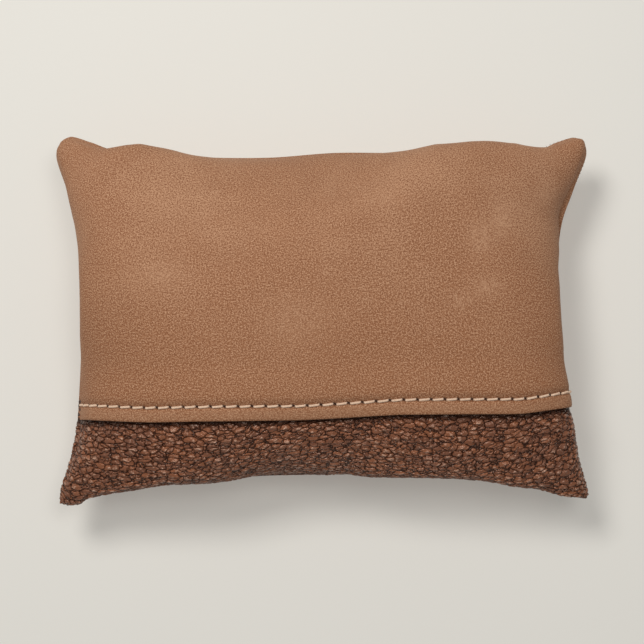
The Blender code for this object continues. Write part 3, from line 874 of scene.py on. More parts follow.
@dataclass(frozen=True)
class Nubuck(Finish):
    """Brushed tan leather: short nap, cloudy tone, faint scuffs; painted shade darkens it towards the bottom,
    near its edges and round its stitches, and a painted highlight lightens the strip below the stitches.
    """

    name: str = "tan_nubuck"
    tone: Colour = (0.38, 0.177, 0.09)
    pale: Colour = (0.56, 0.32, 0.19)
    deep: Colour = (0.24, 0.097, 0.045)
    # Near-black painted shade: the needle's holes, the valley above the stitches and the strip under the hem's
    # fold.
    hole: Colour = (0.03, 0.011, 0.006)
    # Painted shade: the darker tone mixed in towards the bottom of the panel and near its edges.
    painted_shade: Colour = (0.3, 0.115, 0.045)
    flat: Pair = (0.406, 0.305)
    cloud_share: float = 0.46
    blotch_share: float = 0.27
    scuff_share: float = 0.95
    low_shade_fade: Pair = (0.25, 0.1)
    low_shade_share: float = 0.8
    rim_shade_fade: Pair = (0.034, 0.004)
    rim_shade_share: float = 0.62

    def rim(self, graph: Graph, hide: Any) -> Any:
        """How much painted shade darkens the leather: patchy, within a few centimetres of the panel's edges.

        Args:
            graph: The material's tree.
            hide: The place on the flat leather.

        Returns:
            The share's socket.
        """
        parts = graph.add("ShaderNodeSeparateXYZ", {0: hide}).outputs
        x = graph.maths("MODULO", parts[0], 1.0)
        near = graph.maths("MINIMUM", x, graph.maths("SUBTRACT", self.flat[0], x))
        near = graph.maths("MINIMUM", near, graph.maths("SUBTRACT", self.flat[1], parts[1]))
        patchy = graph.ramp(graph.noise(hide, 30, 3, 0.6), 0.3, 0.65)
        return graph.maths("MULTIPLY", graph.ramp(near, *self.rim_shade_fade, 0.0, self.rim_shade_share), patchy)

    def dress(self, graph: Graph, shader: bpy.types.Node) -> None:
        """Sets the shader up.

        Args:
            graph: The material's tree.
            shader: Its Principled BSDF.
        """
        hide = self.hide(graph)
        clouds = graph.ramp(graph.noise(hide, 13, 4, 0.6), 0.41, 0.63)
        blotch = graph.ramp(graph.noise(hide, 48, 3, 0.6), 0.3, 0.72)
        nap = graph.noise(hide, 900, 2, 0.8)
        speckle = graph.noise(hide, 1500, 1, 0.6)
        tone = graph.mix(graph.maths("MULTIPLY", clouds, self.cloud_share), self.tone, self.pale)
        tone = graph.mix(graph.maths("MULTIPLY", blotch, self.blotch_share), tone, self.deep)
        up = graph.add("ShaderNodeSeparateXYZ", {0: hide}).outputs[1]
        # Painted shade: darker towards the bottom of the panel.
        low = graph.ramp(up, *self.low_shade_fade, 0.0, self.low_shade_share)
        tone = graph.mix(low, tone, self.painted_shade)
        stretched = graph.vector_maths("MULTIPLY", hide, (0.55, 1.0, 1.0))
        scuff = graph.ramp(graph.noise(stretched, 75, 5, 0.72), 0.56, 0.74)
        rub = graph.ramp(graph.noise(hide, 9, 1, 0.5), 0.5, 0.66)
        scuff = graph.maths("MULTIPLY", graph.maths("MULTIPLY", scuff, rub), self.scuff_share)
        tone = graph.mix(scuff, tone, self.pale)
        # Painted shade, patchy, near the panel's edges.
        tone = graph.mix(self.rim(graph, hide), tone, self.painted_shade)
        grain = graph.maths("ADD", graph.maths("MULTIPLY", nap, 0.6), graph.maths("MULTIPLY", speckle, 0.4))
        tone = graph.mix(graph.ramp(grain, 0.5, 0.575), tone, self.pale)
        tone = graph.mix(graph.ramp(grain, 0.5, 0.425), tone, self.deep)
        # Painted shade from the attribute: needle holes, the valley above the stitches, the strip under the
        # hem's fold.
        marks = graph.add("ShaderNodeAttribute", attribute_name="marks").outputs["Fac"]
        tone = graph.mix(graph.maths("MULTIPLY", graph.maths("MAXIMUM", marks, 0.0), 0.96), tone, self.hole)
        broken = graph.ramp(graph.noise(hide, 260, 4, 0.7), 0.42, 0.62, 0.35, 1.5)
        # Paler where the attribute is negative: real scuffs, and a painted highlight on the strip below the
        # stitches.
        wear_and_highlight = graph.maths("MAXIMUM", graph.maths("MULTIPLY", marks, -1.0), 0.0)
        tone = graph.mix(graph.maths("MULTIPLY", wear_and_highlight, broken), tone, self.pale)
        pores = graph.voronoi(hide, 900, "F1")
        bump = graph.bump(graph.noise(hide, 480, 4, 0.6), 0.0005, 0.35)
        bump = graph.bump(grain, 0.0007, 0.7, bump)
        bump = graph.bump(pores, 0.0002, 0.25, bump)
        rough = graph.ramp(grain, 0.3, 0.7, 0.92, 0.74)
        self.link(graph, shader, Base_Color=tone, Roughness=rough, Normal=bump, Sheen_Weight=0.15,
                  Sheen_Roughness=0.45, Sheen_Tint=(0.95, 0.68, 0.5), Specular_IOR_Level=0.25)


@dataclass(frozen=True)
class PebbleGrain:
    """The pebbled leather's relief, from the same nodes in geometry and in the material."""

    cell: float = 3.7 * MM
    stretch: float = 0.56
    fine_cell: float = 1.6 * MM
    height: float = 1.25 * MM
    waver: float = 0.0032
    crease_share: float = 0.46
    dome_share: float = 0.32
    wrinkle_share: float = 0.22

    def warped(self, graph: Graph, hide: Any) -> Any:
        """The coordinate, stretched across and wavered, so that cells are wide and their edges curve.

        Args:
            graph: A tree of either kind.
            hide: The place on the flat leather.

        Returns:
            The coordinate's socket.
        """
        drawn = graph.vector_maths("MULTIPLY", hide, (self.stretch, 1.0, 1.0))
        drift = graph.vector_maths("SUBTRACT", graph.noise(hide, 260, 2, 0.5, "Color"), (0.5, 0.5, 0.5))
        return graph.vector_maths("ADD", drawn, graph.vector_maths("SCALE", drift, scale=self.waver))

    def relief(self, graph: Graph, hide: Any) -> Any:
        """The height of the grain, from 0 in its creases to about 1.

        Args:
            graph: A tree of either kind.
            hide: The place on the flat leather.

        Returns:
            The height's socket.
        """
        where = self.warped(graph, hide)
        crease = graph.ramp(graph.voronoi(where, 1 / self.cell, "DISTANCE_TO_EDGE"), -0.02, 0.145)
        dome = graph.ramp(graph.voronoi(where, 1 / self.cell, "F1"), 0.78, 0.05)
        wrinkle = graph.ramp(graph.voronoi(where, 1 / self.fine_cell, "F1"), 0.75, 0.1)
        uneven = graph.ramp(graph.noise(hide, 210, 2, 0.5), 0.3, 0.7, 0.92, 1.06)
        total = graph.maths("ADD", graph.maths("MULTIPLY", crease, self.crease_share),
                            graph.maths("MULTIPLY", dome, self.dome_share))
        total = graph.maths("ADD", total, graph.maths("MULTIPLY", wrinkle, self.wrinkle_share))
        return graph.maths("MULTIPLY", total, uneven)

    def emboss(self, obj: bpy.types.Object) -> None:
        """Raises the grain on a mesh that has the hide attribute.

        Args:
            obj: The panel. Its attribute "relief" says how strong the grain is at each vertex.
        """
        tree = bpy.data.node_groups.new("pebble_grain", "GeometryNodeTree")
        tree.interface.new_socket("Geometry", in_out="INPUT", socket_type="NodeSocketGeometry")
        tree.interface.new_socket("Geometry", in_out="OUTPUT", socket_type="NodeSocketGeometry")
        graph = Graph(tree)
        entry = graph.add("NodeGroupInput")
        attribute = "GeometryNodeInputNamedAttribute"
        hide = graph.add(attribute, {"Name": "hide"}, data_type="FLOAT_VECTOR").outputs[0]
        share = graph.add(attribute, {"Name": "relief"}, data_type="FLOAT").outputs[0]
        rise = graph.maths("MULTIPLY", self.relief(graph, hide), graph.maths("MULTIPLY", share, self.height))
        normal = graph.add("GeometryNodeInputNormal").outputs[0]
        offset = graph.add("ShaderNodeVectorMath", {0: normal, "Scale": rise}, operation="SCALE").outputs[0]
        moved = graph.add("GeometryNodeSetPosition", {"Geometry": entry.outputs[0], "Offset": offset})
        graph.add("NodeGroupOutput", {"Geometry": moved.outputs[0]})
        raise_grain = obj.modifiers.new("grain", "NODES")
        raise_grain.node_group = tree
        bake_modifiers(obj)


@dataclass(frozen=True)
class PebbledLeather(Finish):
    """Dark pebbled leather: glossy tops with painted highlights, painted near-black shade in its creases and
    under the hem, a reddish tone that varies among pebbles.
    """

    name: str = "dark_pebbled_leather"
    top: Colour = (0.19, 0.074, 0.041)
    warm: Colour = (0.29, 0.106, 0.05)
    # Near-black painted shade, for the grain's creases and the shadow under the hem.
    crease: Colour = (0.026, 0.006, 0.002)
    # Painted highlight colour for the pebbles' tops.
    painted_highlight: Colour = (0.66, 0.4, 0.28)
    # Paler tone for specks on the pebble tops: partly scuffing, partly a painted highlight.
    wear_and_highlight: Colour = (0.3, 0.17, 0.12)
    grain: PebbleGrain = PebbleGrain()

    def dress(self, graph: Graph, shader: bpy.types.Node) -> None:
        """Sets the shader up.

        Args:
            graph: The material's tree.
            shader: Its Principled BSDF.
        """
        hide = self.hide(graph)
        relief = self.grain.relief(graph, hide)
        tint = graph.voronoi(self.grain.warped(graph, hide), 1 / self.grain.cell, "F1", "Color")
        tint = graph.add("ShaderNodeSeparateColor", {0: tint}).outputs[0]
        cloud = graph.noise(hide, 22, 3, 0.6)
        warm = graph.maths("MULTIPLY", graph.maths("ADD", tint, cloud), 0.5)
        tone = graph.mix(graph.ramp(warm, 0.25, 0.8), self.top, self.warm)
        # Painted shade in the grain's creases.
        tone = graph.mix(graph.ramp(relief, 0.41, 0.15, 0.0, 0.95), tone, self.crease)
        # Painted highlight on the pebbles' tops.
        tone = graph.mix(graph.ramp(relief, 0.74, 0.97, 0.0, 0.75), tone, self.painted_highlight)
        # Painted shadow under the hem, in the crease colour.
        marks = graph.add("ShaderNodeAttribute", attribute_name="marks").outputs["Fac"]
        tone = graph.mix(marks, tone, self.crease)
        # Paler specks on the pebble tops: partly scuffing, partly a painted highlight.
        wear_and_highlight_specks = graph.ramp(graph.noise(hide, 900, 3, 0.6), 0.55, 0.75, 0.0, 0.35)
        tone = graph.mix(graph.maths("MULTIPLY", wear_and_highlight_specks, graph.ramp(relief, 0.6, 0.95)), tone, self.wear_and_highlight)
        bump = graph.bump(relief, 0.0018, 1.0)
        bump = graph.bump(graph.noise(hide, 1300, 3, 0.6), 0.00035, 0.4, bump)
        rough = graph.ramp(graph.noise(hide, 800, 2, 0.5), 0.3, 0.7, 0.2, 0.37)
        self.link(graph, shader, Base_Color=tone, Roughness=rough, Normal=bump,
                  Specular_IOR_Level=0.6, Specular_Tint=(1.0, 0.8, 0.68))


@dataclass(frozen=True)
class Thread(Finish):
    """Twisted thread, with fine fibres along it, painted shade in the low grooves between them, and darker
    patches at random.
    """

    name: str
    tone: Colour
    shade: Colour
    rough: float = 0.55

    def dress(self, graph: Graph, shader: bpy.types.Node) -> None:
        """Sets the shader up.

        Args:
            graph: The material's tree.
            shader: Its Principled BSDF.
        """
        place = self.place(graph)
        fibre = graph.noise(graph.vector_maths("MULTIPLY", place, (0.35, 1.0, 1.0)), 4200, 3, 0.6)
        uneven = graph.noise(place, 180, 2, 0.5)
        # Painted shade in the low grooves between the fibres.
        tone = graph.mix(graph.ramp(fibre, 0.6, 0.36), self.tone, self.shade)
        tone = graph.mix(graph.ramp(uneven, 0.55, 0.8, 0.0, 0.35), tone, self.shade)
        self.link(graph, shader, Base_Color=tone, Roughness=self.rough,
                  Normal=graph.bump(fibre, 0.00025, 0.6), Sheen_Weight=0.25, Sheen_Roughness=0.4)


@dataclass(frozen=True)
class Woven(Finish):
    """Plain-woven cloth, for the zip's tapes and the insert's casing."""

    name: str
    tone: Colour
    shade: Colour
    threads: float

    def dress(self, graph: Graph, shader: bpy.types.Node) -> None:
        """Sets the shader up.

        Args:
            graph: The material's tree.
            shader: Its Principled BSDF.
        """
        place = self.place(graph)
        parts = graph.add("ShaderNodeSeparateXYZ", {0: place}).outputs
        rate = 2 * math.pi * self.threads
        warp = graph.maths("SINE", graph.maths("MULTIPLY", parts[0], rate))
        weft = graph.maths("SINE", graph.maths("MULTIPLY", graph.maths("ADD", parts[1], parts[2]), rate))
        weave = graph.maths("MULTIPLY", warp, weft)
        slub = graph.noise(place, 700, 3, 0.6)
        height = graph.maths("ADD", graph.maths("MULTIPLY", weave, 0.5), slub)
        tone = graph.mix(graph.ramp(height, 0.9, 0.1), self.tone, self.shade)
        self.link(graph, shader, Base_Color=tone, Roughness=graph.ramp(slub, 0.3, 0.7, 0.95, 0.8),
                  Normal=graph.bump(height, 0.0003, 0.6), Sheen_Weight=0.15)


@dataclass(frozen=True)
class Nylon(Finish):
    """Dyed nylon monofilament of the zip's coils."""

    name: str = "zip_teeth"
    tone: Colour = (0.05, 0.024, 0.015)
    film: Colour = (0.12, 0.07, 0.045)

    def dress(self, graph: Graph, shader: bpy.types.Node) -> None:
        """Sets the shader up.

        Args:
            graph: The material's tree.
            shader: Its Principled BSDF.
        """
        place = self.place(graph)
        film = graph.noise(place, 900, 2, 0.5)
        tone = graph.mix(graph.ramp(film, 0.4, 0.75, 0.0, 0.5), self.tone, self.film)
        self.link(graph, shader, Base_Color=tone, Roughness=graph.ramp(film, 0.3, 0.7, 0.3, 0.48),
                  Normal=graph.bump(film, 0.00008, 0.3), Specular_IOR_Level=0.5)


@dataclass(frozen=True)
class AgedBrass(Finish):
    """Antiqued brass: bright where it rubs, brown in its pits, with fine scratches."""

    name: str = "aged_brass"
    bright: Colour = (0.5, 0.34, 0.16)
    patina: Colour = (0.12, 0.07, 0.035)

    def dress(self, graph: Graph, shader: bpy.types.Node) -> None:
        """Sets the shader up.

        Args:
            graph: The material's tree.
            shader: Its Principled BSDF.
        """
        place = self.place(graph)
        cast = graph.noise(place, 420, 4, 0.6)
        lines = graph.noise(graph.vector_maths("MULTIPLY", place, (0.15, 1.0, 1.0)), 5200, 2, 0.7)
        tone = graph.mix(graph.ramp(cast, 0.4, 0.68), self.patina, self.bright)
        tone = graph.mix(graph.ramp(lines, 0.6, 0.75, 0.0, 0.4), tone, self.bright)
        rough = graph.maths("ADD", graph.ramp(cast, 0.35, 0.7, 0.46, 0.24),
                            graph.maths("MULTIPLY", lines, 0.12))
        bump = graph.bump(cast, 0.00025, 0.35)
        self.link(graph, shader, Base_Color=tone, Metallic=1.0, Roughness=rough,
                  Normal=graph.bump(lines, 0.00005, 0.3, bump))


@dataclass(frozen=True)
class Fibre(Finish):
    """Polyester fibre fill: white, matted and cloudy."""

    name: str = "polyester_fibre"
    shade: Colour = (0.7, 0.7, 0.69)
    tone: Colour = (0.86, 0.86, 0.85)

    def dress(self, graph: Graph, shader: bpy.types.Node) -> None:
        """Sets the shader up.

        Args:
            graph: The material's tree.
            shader: Its Principled BSDF.
        """
        place = self.place(graph)
        mat = graph.noise(place, 160, 6, 0.7)
        tone = graph.mix(graph.ramp(mat, 0.35, 0.65), self.shade, self.tone)
        self.link(graph, shader, Base_Color=tone, Roughness=0.95, Normal=graph.bump(mat, 0.003, 0.8),
                  Sheen_Weight=0.4)


@dataclass(frozen=True)
class StudioFloor(Finish):
    """The pale floor, with a trace of unevenness in its tone."""

    name: str = "studio_floor"
    tone: Colour = (0.625, 0.612, 0.572)
    glow: float = 0.34
    drift: float = 0.985

    def dress(self, graph: Graph, shader: bpy.types.Node) -> None:
        """Sets the shader up.

        Args:
            graph: The material's tree.
            shader: Its Principled BSDF.
        """
        place = self.place(graph)
        darker = tuple(self.drift * value for value in self.tone)
        tone = graph.mix(graph.noise(place, 3, 3, 0.5), self.tone, darker)
        self.link(graph, shader, Base_Color=tone, Roughness=0.95,
                  Specular_IOR_Level=0.15, Emission_Color=self.tone, Emission_Strength=self.glow)


CREAM_THREAD = Thread("cream_thread", (0.92, 0.7, 0.52), (0.6, 0.38, 0.25))
BROWN_THREAD = Thread("brown_thread", (0.12, 0.055, 0.032), (0.05, 0.024, 0.015))
ZIP_TAPE = Woven("zip_tape", (0.055, 0.028, 0.019), (0.02, 0.01, 0.007), 1400)
INSERT_COTTON = Woven("insert_cotton", (0.78, 0.76, 0.71), (0.6, 0.58, 0.53), 900)


# --------------------------------------
# Mesh builders
# --------------------------------------


def swept(paths: Array, ups: Array, radius: Any, sides: int, flatten: float = 1.0) -> tuple[Array, list]:
    """Round rods along paths that all have the same number of points, with closed ends.

    Args:
        paths: Points, of shape (paths, points, 3).
        ups: A direction at each point that isn't along its path, of the same shape.
        radius: One radius, or one for each point along a path.
        sides: Sides of the section.
        flatten: The section's height as a share of its width.

    Returns:
        The vertices and the faces.
    """
    count, length = paths.shape[:2]
    along = unit(np.gradient(paths, axis=1))
    sideways = unit(np.cross(along, ups))
    upwards = np.cross(sideways, along)
    turn = 2 * math.pi * np.arange(sides) / sides
    reach = np.broadcast_to(np.asarray(radius, float), (length,))[None, :, None, None]
    points = paths[:, :, None] + reach * (np.cos(turn)[None, None, :, None] * sideways[:, :, None]
                                          + flatten * np.sin(turn)[None, None, :, None] * upwards[:, :, None])
    ring = np.arange(count * length * sides).reshape(count, length, sides)
    nxt = np.roll(ring, -1, axis=2)
    quads = np.stack([ring[:, :-1], nxt[:, :-1], nxt[:, 1:], ring[:, 1:]], -1).reshape(-1, 4)
    faces = quads[:, ::-1].tolist() + ring[:, 0].tolist() + ring[:, -1, ::-1].tolist()
    return points.reshape(-1, 3), faces


def towards(axis: int, paths: Array) -> Array:
    """A unit vector along one axis for each point of some paths.

    Args:
        axis: The axis, from 0 to 2.
        paths: The points.

    Returns:
        Vectors of the paths' shape.
    """
    vectors = np.zeros_like(paths)
    vectors[..., axis] = 1.0
    return vectors


def join_parts(parts: Sequence[tuple[Array, list]]) -> tuple[Array, list]:
    """Several (vertices, faces) as one.

    Args:
        parts: The pieces.

    Returns:
        All their vertices, and their faces renumbered.
    """
    points, faces, base = [], [], 0
    for part_points, part_faces in parts:
        points.append(part_points)
        faces += [[base + k for k in face] for face in part_faces]
        base += len(part_points)
    return np.concatenate(points), faces


def flat_plate(name: str, outlines: Sequence[Sequence[Pair]], thickness: float,
               rounding: float) -> bpy.types.Object:
    """A flat plate with rounded rims, in its own XY plane.

    Args:
        name: The object's name.
        outlines: The outer outline, then any holes.
        thickness: The whole thickness.
        rounding: How much of each rim is rounded.

    Returns:
        The plate as a mesh object.
    """
    curve = bpy.data.curves.new(name, "CURVE")
    curve.dimensions = "2D"
    curve.fill_mode = "BOTH"
    curve.extrude = thickness / 2 - rounding
    curve.bevel_depth = rounding
    curve.bevel_resolution = 2
    curve.offset = -rounding
    for outline in outlines:
        spline = curve.splines.new("POLY")
        spline.points.add(len(outline) - 1)
        for point, (x, y) in zip(spline.points, outline):
            point.co = (x, y, 0, 1)
        spline.use_cyclic_u = True
    shape = bpy.data.objects.new(name + "_outline", curve)
    bpy.context.scene.collection.objects.link(shape)
    bpy.context.view_layer.update()
    mesh = bpy.data.meshes.new_from_object(shape.evaluated_get(bpy.context.evaluated_depsgraph_get()))
    bpy.data.objects.remove(shape)
    mesh.name = name
    obj = bpy.data.objects.new(name, mesh)
    bpy.context.scene.collection.objects.link(obj)
    mesh.shade_smooth()
    mesh.set_sharp_from_angle(angle=math.radians(40))
    return obj


def arc(centre: Pair, radius: float, start: float, end: float, count: int) -> list[Pair]:
    """Points on an arc, with angles in degrees."""
    return [(centre[0] + radius * math.cos(t), centre[1] + radius * math.sin(t))
            for t in np.radians(np.linspace(start, end, count))]


def rounded_box(size: Sequence[float], centre: Sequence[float], bevel: float) -> tuple[Array, list]:
    """A box with bevelled edges.

    Args:
        size: Its sides.
        centre: Its middle.
        bevel: The width of its bevels.

    Returns:
        Its vertices and faces.
    """
    scratch = bpy.data.meshes.new("scratch")
    holder = bpy.data.objects.new("scratch", scratch)
    bpy.context.scene.collection.objects.link(holder)
    corners = [(x, y, z) for x in (-0.5, 0.5) for y in (-0.5, 0.5) for z in (-0.5, 0.5)]
    scratch.from_pydata([[c * s + m for c, s, m in zip(corner, size, centre)] for corner in corners], [],
                        [(0, 1, 3, 2), (4, 6, 7, 5), (0, 4, 5, 1), (2, 3, 7, 6), (0, 2, 6, 4), (1, 5, 7, 3)])
    soften = holder.modifiers.new("soften", "BEVEL")
    soften.width = bevel
    soften.segments = 3
    bake_modifiers(holder)
    found = read_points(holder.data), [list(face.vertices) for face in holder.data.polygons]
    bpy.data.objects.remove(holder)
    return found


# --------------------------------------
# Leather panels
# --------------------------------------


@dataclass
class Hem:
    """The turned-under lower edge of the upper panel, and the line of stitches along it."""

    form: PillowForm
    edge: tuple = ((-200.0, -74.5), (-184.7, -75.7), (-131.2, -77.3), (-93.0, -76.5), (-16.4, -75.4),
                   (60.0, -71.1), (151.9, -70.9), (189.3, -66.1), (205.0, -64.5))
    face: float = 3.1 * MM
    fold_radius: float = 1.4 * MM
    back: float = 14.0 * MM
    settle: float = 44.0 * MM
    stitch_line: float = 11.3 * MM
    pitch: float = 10.1 * MM
    stitch: float = 7.4 * MM
    slant: float = 0.32 * MM
    groove: float = 1.05 * MM
    groove_reach: Pair = (1.9 * MM, 3.4 * MM)
    hole_reach: float = 0.88 * MM
    hole_depth: float = 0.95 * MM
    hole_past: float = 0.6 * MM
    puff: float = 0.35 * MM
    pressed: float = 0.05
    side_fade: float = 30 * MM
    end_room: float = 6 * MM
    columns: int = 481
    rows: int = 240
    search: Pair = (0.02, 0.6)
    blur: int = 25
    rate_step: float = 0.05
    table: dict[str, Array] = field(default_factory=dict)

    def __post_init__(self) -> None:
        """Finds the hem's line on the form and measures along it."""
        u = np.linspace(0, 1, self.columns)
        v = np.linspace(*self.search, self.rows)
        uu, vv = np.meshgrid(u, v, indexing="ij")
        points = self.form.point(Side.FRONT, uu, vv)
        far = self.form.eye_distance
        grow = far / (far - (points[..., 2] - self.form.seam_height))
        edge = np.array(self.edge) * MM
        miss = points[..., 1] * grow - np.interp(points[..., 0] * grow, edge[:, 0], edge[:, 1])
        at = np.array([np.interp(0.0, miss[k], v) for k in range(len(u))])
        kernel = np.hanning(self.blur)
        smooth = np.convolve(np.pad(at, self.blur // 2, mode="edge"), kernel / kernel.sum(), "valid")
        self.table["u"], self.table["v"] = u, smooth
        low = self.form.point(Side.FRONT, u, smooth)
        high = self.form.point(Side.FRONT, u, smooth + self.rate_step)
        self.table["rate"] = self.rate_step / np.linalg.norm(high - low, axis=-1)
        line = self.line(u, self.stitch_line)
        run = np.concatenate([[0], np.cumsum(np.linalg.norm(np.diff(line, axis=0), axis=1))])
        self.table["run"] = run

    def up(self, u: Array, distance: Any) -> Array:
        """The fraction up the front, at a distance over the leather from the hem's edge."""
        base = np.interp(u, self.table["u"], self.table["v"])
        return base + distance * np.interp(u, self.table["u"], self.table["rate"])

    def line(self, u: Array, distance: float) -> Array:
        """Points of the form along the hem, at a distance up from its edge."""
        return self.form.point(Side.FRONT, u, self.up(u, distance))

    def stitch_starts(self) -> Array:
        """Where each stitch starts.

        Returns:
            Distances along the stitch line.
        """
        length = self.table["run"][-1]
        count = int((length - self.end_room) / self.pitch)
        return ((length - count * self.pitch) / 2 + self.pitch * np.arange(count)
                + (self.pitch - self.stitch) / 2)

    def along(self, u: Array) -> Array:
        """The distance along the stitch line of a fraction across."""
        return np.interp(u, self.table["u"], self.table["run"])

    def across(self, distance: Array) -> Array:
        """The fraction across of a distance along the stitch line."""
        return np.interp(distance, self.table["run"], self.table["u"])

    def edge_share(self, u: Array) -> Array:
        """How thick the hem's layers lie: pressed nearly flat at the side seams, and 1 away from them."""
        return self.pressed + (1 - self.pressed) * self.away_from_sides(u)

    def away_from_sides(self, u: Array) -> Array:
        """Rises from 0 at the side seams to 1 a little way in."""
        run = self.along(u)
        return smoothstep(np.minimum(run, self.table["run"][-1] - run), 0, self.side_fade)

    def height(self, u: Array, distance: Array) -> Array:
        """The height of the upper panel's face over the lower panel, with the stitches' groove and holes.

        Args:
            u: Fractions across.
            distance: Distances up from the hem's edge.

        Returns:
            A height for each point.
        """
        base = self.face * (1 - smoothstep(distance, self.stitch_line + 1 * MM, self.settle))
        puff = self.puff * np.sin(math.pi * np.clip(distance / self.stitch_line, 0, 1))
        phase = (self.along(u) - self.stitch_starts()[0]) % self.pitch
        within = np.where(phase < self.stitch, 1.0, 0.0)
        across = distance - self.stitch_line
        lift = 0.7 + 0.3 * within * np.sin(math.pi * np.clip(phase / self.stitch, 0, 1))
        reach = np.where(across < 0, *self.groove_reach)
        groove = self.groove * lift * np.exp(-((across / reach) ** 2))
        return (base + puff - groove - self.hole_depth * self.holes(u, distance)) * self.edge_share(u)

    def holes(self, u: Array, distance: Array) -> Array:
        """How far a point is into one of the needle's holes, from 0 to about 1.

        Args:
            u: Fractions across.
            distance: Distances up from the hem's edge.

        Returns:
            A share for each point.
        """
        phase = (self.along(u) - self.stitch_starts()[0]) % self.pitch
        across = distance - self.stitch_line
        share = 0.0
        for end, slant in ((-self.hole_past, -self.slant), (self.stitch + self.hole_past, self.slant)):
            away = np.minimum(np.abs(phase - end), self.pitch - np.abs(phase - end))
            share = share + np.exp(-(away**2 + (across - slant) ** 2) / self.hole_reach**2)
        return share

    def marks(self, u: Array, distance: Array) -> Array:
        """How much painted shade darkens the leather near the stitches, in the needle's holes and the valley
        above the stitch line; where negative, how much a painted highlight lightens the strip between the hem's
        fold and the stitches.

        Args:
            u: Fractions across.
            distance: Distances up from the hem's edge.

        Returns:
            A share for each point.
        """
        across = distance - self.stitch_line
        # Painted shade in the valley above the stitch line, and a painted highlight on the strip between the
        # hem's fold and the stitches.
        stitch_valley_shade = 0.2 * np.exp(-(((across - 1.5 * MM) / (3.5 * MM)) ** 2))
        band_highlight = 0.2 * smoothstep(distance, 0.5 * MM, 3 * MM) * (1 - smoothstep(distance, 8 * MM, 10.5 * MM))
        return np.clip(1.15 * self.holes(u, distance), 0, 1) + stitch_valley_shade - band_highlight


@dataclass
class Panel:
    """One leather panel: a fine grid on the form, with its seam allowances turned in."""

    form: PillowForm
    side: Side
    name: str
    flat: Pair = (0.406, 0.305)
    pucker: float = 0.3 * MM
    pucker_fade: Pair = (4 * MM, 13 * MM)
    swell: float = 0.4 * MM
    swell_fade: float = 30 * MM

    def hide_place(self, u: Array, v: Array) -> Array:
        """The place on the flat leather of fractions across and up."""
        shift = 0.0 if self.side is Side.FRONT else 1.0
        return np.stack([u * self.flat[0] + shift, v * self.flat[1]], -1)

    def waves(self, u: Array, v: Array) -> Array:
        """Puckers that run in from the seam, and the slack leather's slow swell.

        Args:
            u: Fractions across.
            v: Fractions up.

        Returns:
            A height for each point.
        """
        x, y = u * self.flat[0], v * self.flat[1]
        turn = 0.0 if self.side is Side.FRONT else 2.1
        across = ripple(x, [(0.0173, 0.4 + turn, 0.5), (0.0291, 1.9, 0.6), (0.011, 3.0 + turn, 0.25)])
        upward = ripple(y, [(0.0157, 1.4, 0.5), (0.0263, 0.2 + turn, 0.6), (0.0103, 2.2, 0.25)])
        patch = 0.55 + 0.45 * ripple(x + y, [(0.113, 0.7 + turn, 0.6), (0.067, 2.6, 0.4)])
        from_edges = (y, self.flat[1] - y, x, self.flat[0] - x)
        near, far = self.pucker_fade
        fade = [np.exp(-distance / far) * smoothstep(distance, 0, near) for distance in from_edges]
        pucker = (fade[0] + fade[1]) * across + (fade[2] + fade[3]) * upward
        swell = ripple(x * 0.8 + y * 0.6, [(0.071, 1.0 + turn, 0.5), (0.119, 2.0, 0.5)])
        swell = swell * ripple(x * 0.5 - y * 0.9, [(0.083, 0.3, 0.6), (0.131, 1.2 + turn, 0.4)])
        inside = smoothstep(np.minimum.reduce(from_edges), 0, self.swell_fade)
        return self.pucker * pucker * patch + self.swell * swell * inside

    def ringed(self, fractions: Array, start: bool = True, end: bool = True) -> tuple[Array, Array]:
        """Fractions with the lip's levels before and after them.

        Args:
            fractions: From 0 to 1.
            start: Whether the lip is turned in at the start.
            end: Whether it is at the end.

        Returns:
            The fractions, and the lip's level at each, 0 on the face.
        """
        levels = np.arange(1, len(self.form.lip()))
        low, high = (levels[::-1] if start else levels[:0]), (levels if end else levels[:0])
        places = np.concatenate([0 * low, fractions, 0 * high + 1.0])
        return places, np.concatenate([low, 0 * fractions, high]).astype(int)

    def surface(self, u: Array, v: Array, level: Array, height: Array) -> Array:
        """Points of the panel.

        Args:
            u: Fractions across.
            v: Fractions up.
            level: The lip's level at each point.
            height: How far each stands off the form.

        Returns:
            The points.
        """
        form = self.form
        base = form.point(self.side, u, v)
        points = base + form.normal(self.side, u, v) * (height + self.waves(u, v))[..., None]
        points[..., 2] = np.maximum(points[..., 2], 0.0)
        lip = np.array(form.lip())
        room = form.allowance + (form.zip_allowance - form.allowance) * form.zip_share(base, v)
        turned = form.inset(base, np.minimum(lip[level, 0], room) - 0.4 * height)
        gap = form.gap(base, v) + lip[level, 1] + np.minimum(0.3 * height, 0.4 * MM)
        turned[..., 2] = form.seam_height + self.side.value * gap
        return np.where((level > 0)[..., None], turned, points)

    def mesh(self, u: Array, v: Array, level: Array, height: Array) -> bpy.types.Object:
        """The panel's mesh over arrays of the same shape, rows up and columns across.

        Args:
            u: Fractions across.
            v: Fractions up.
            level: The lip's level.
            height: The height over the form.

        Returns:
            The new object.
        """
        points = self.surface(u, v, level, height)
        quads = grid_quads(np.arange(u.size).reshape(u.shape))
        if self.side is Side.BACK:
            quads = quads[:, ::-1]
        return add_mesh(self.name, points, quads, self.hide_place(u, v))


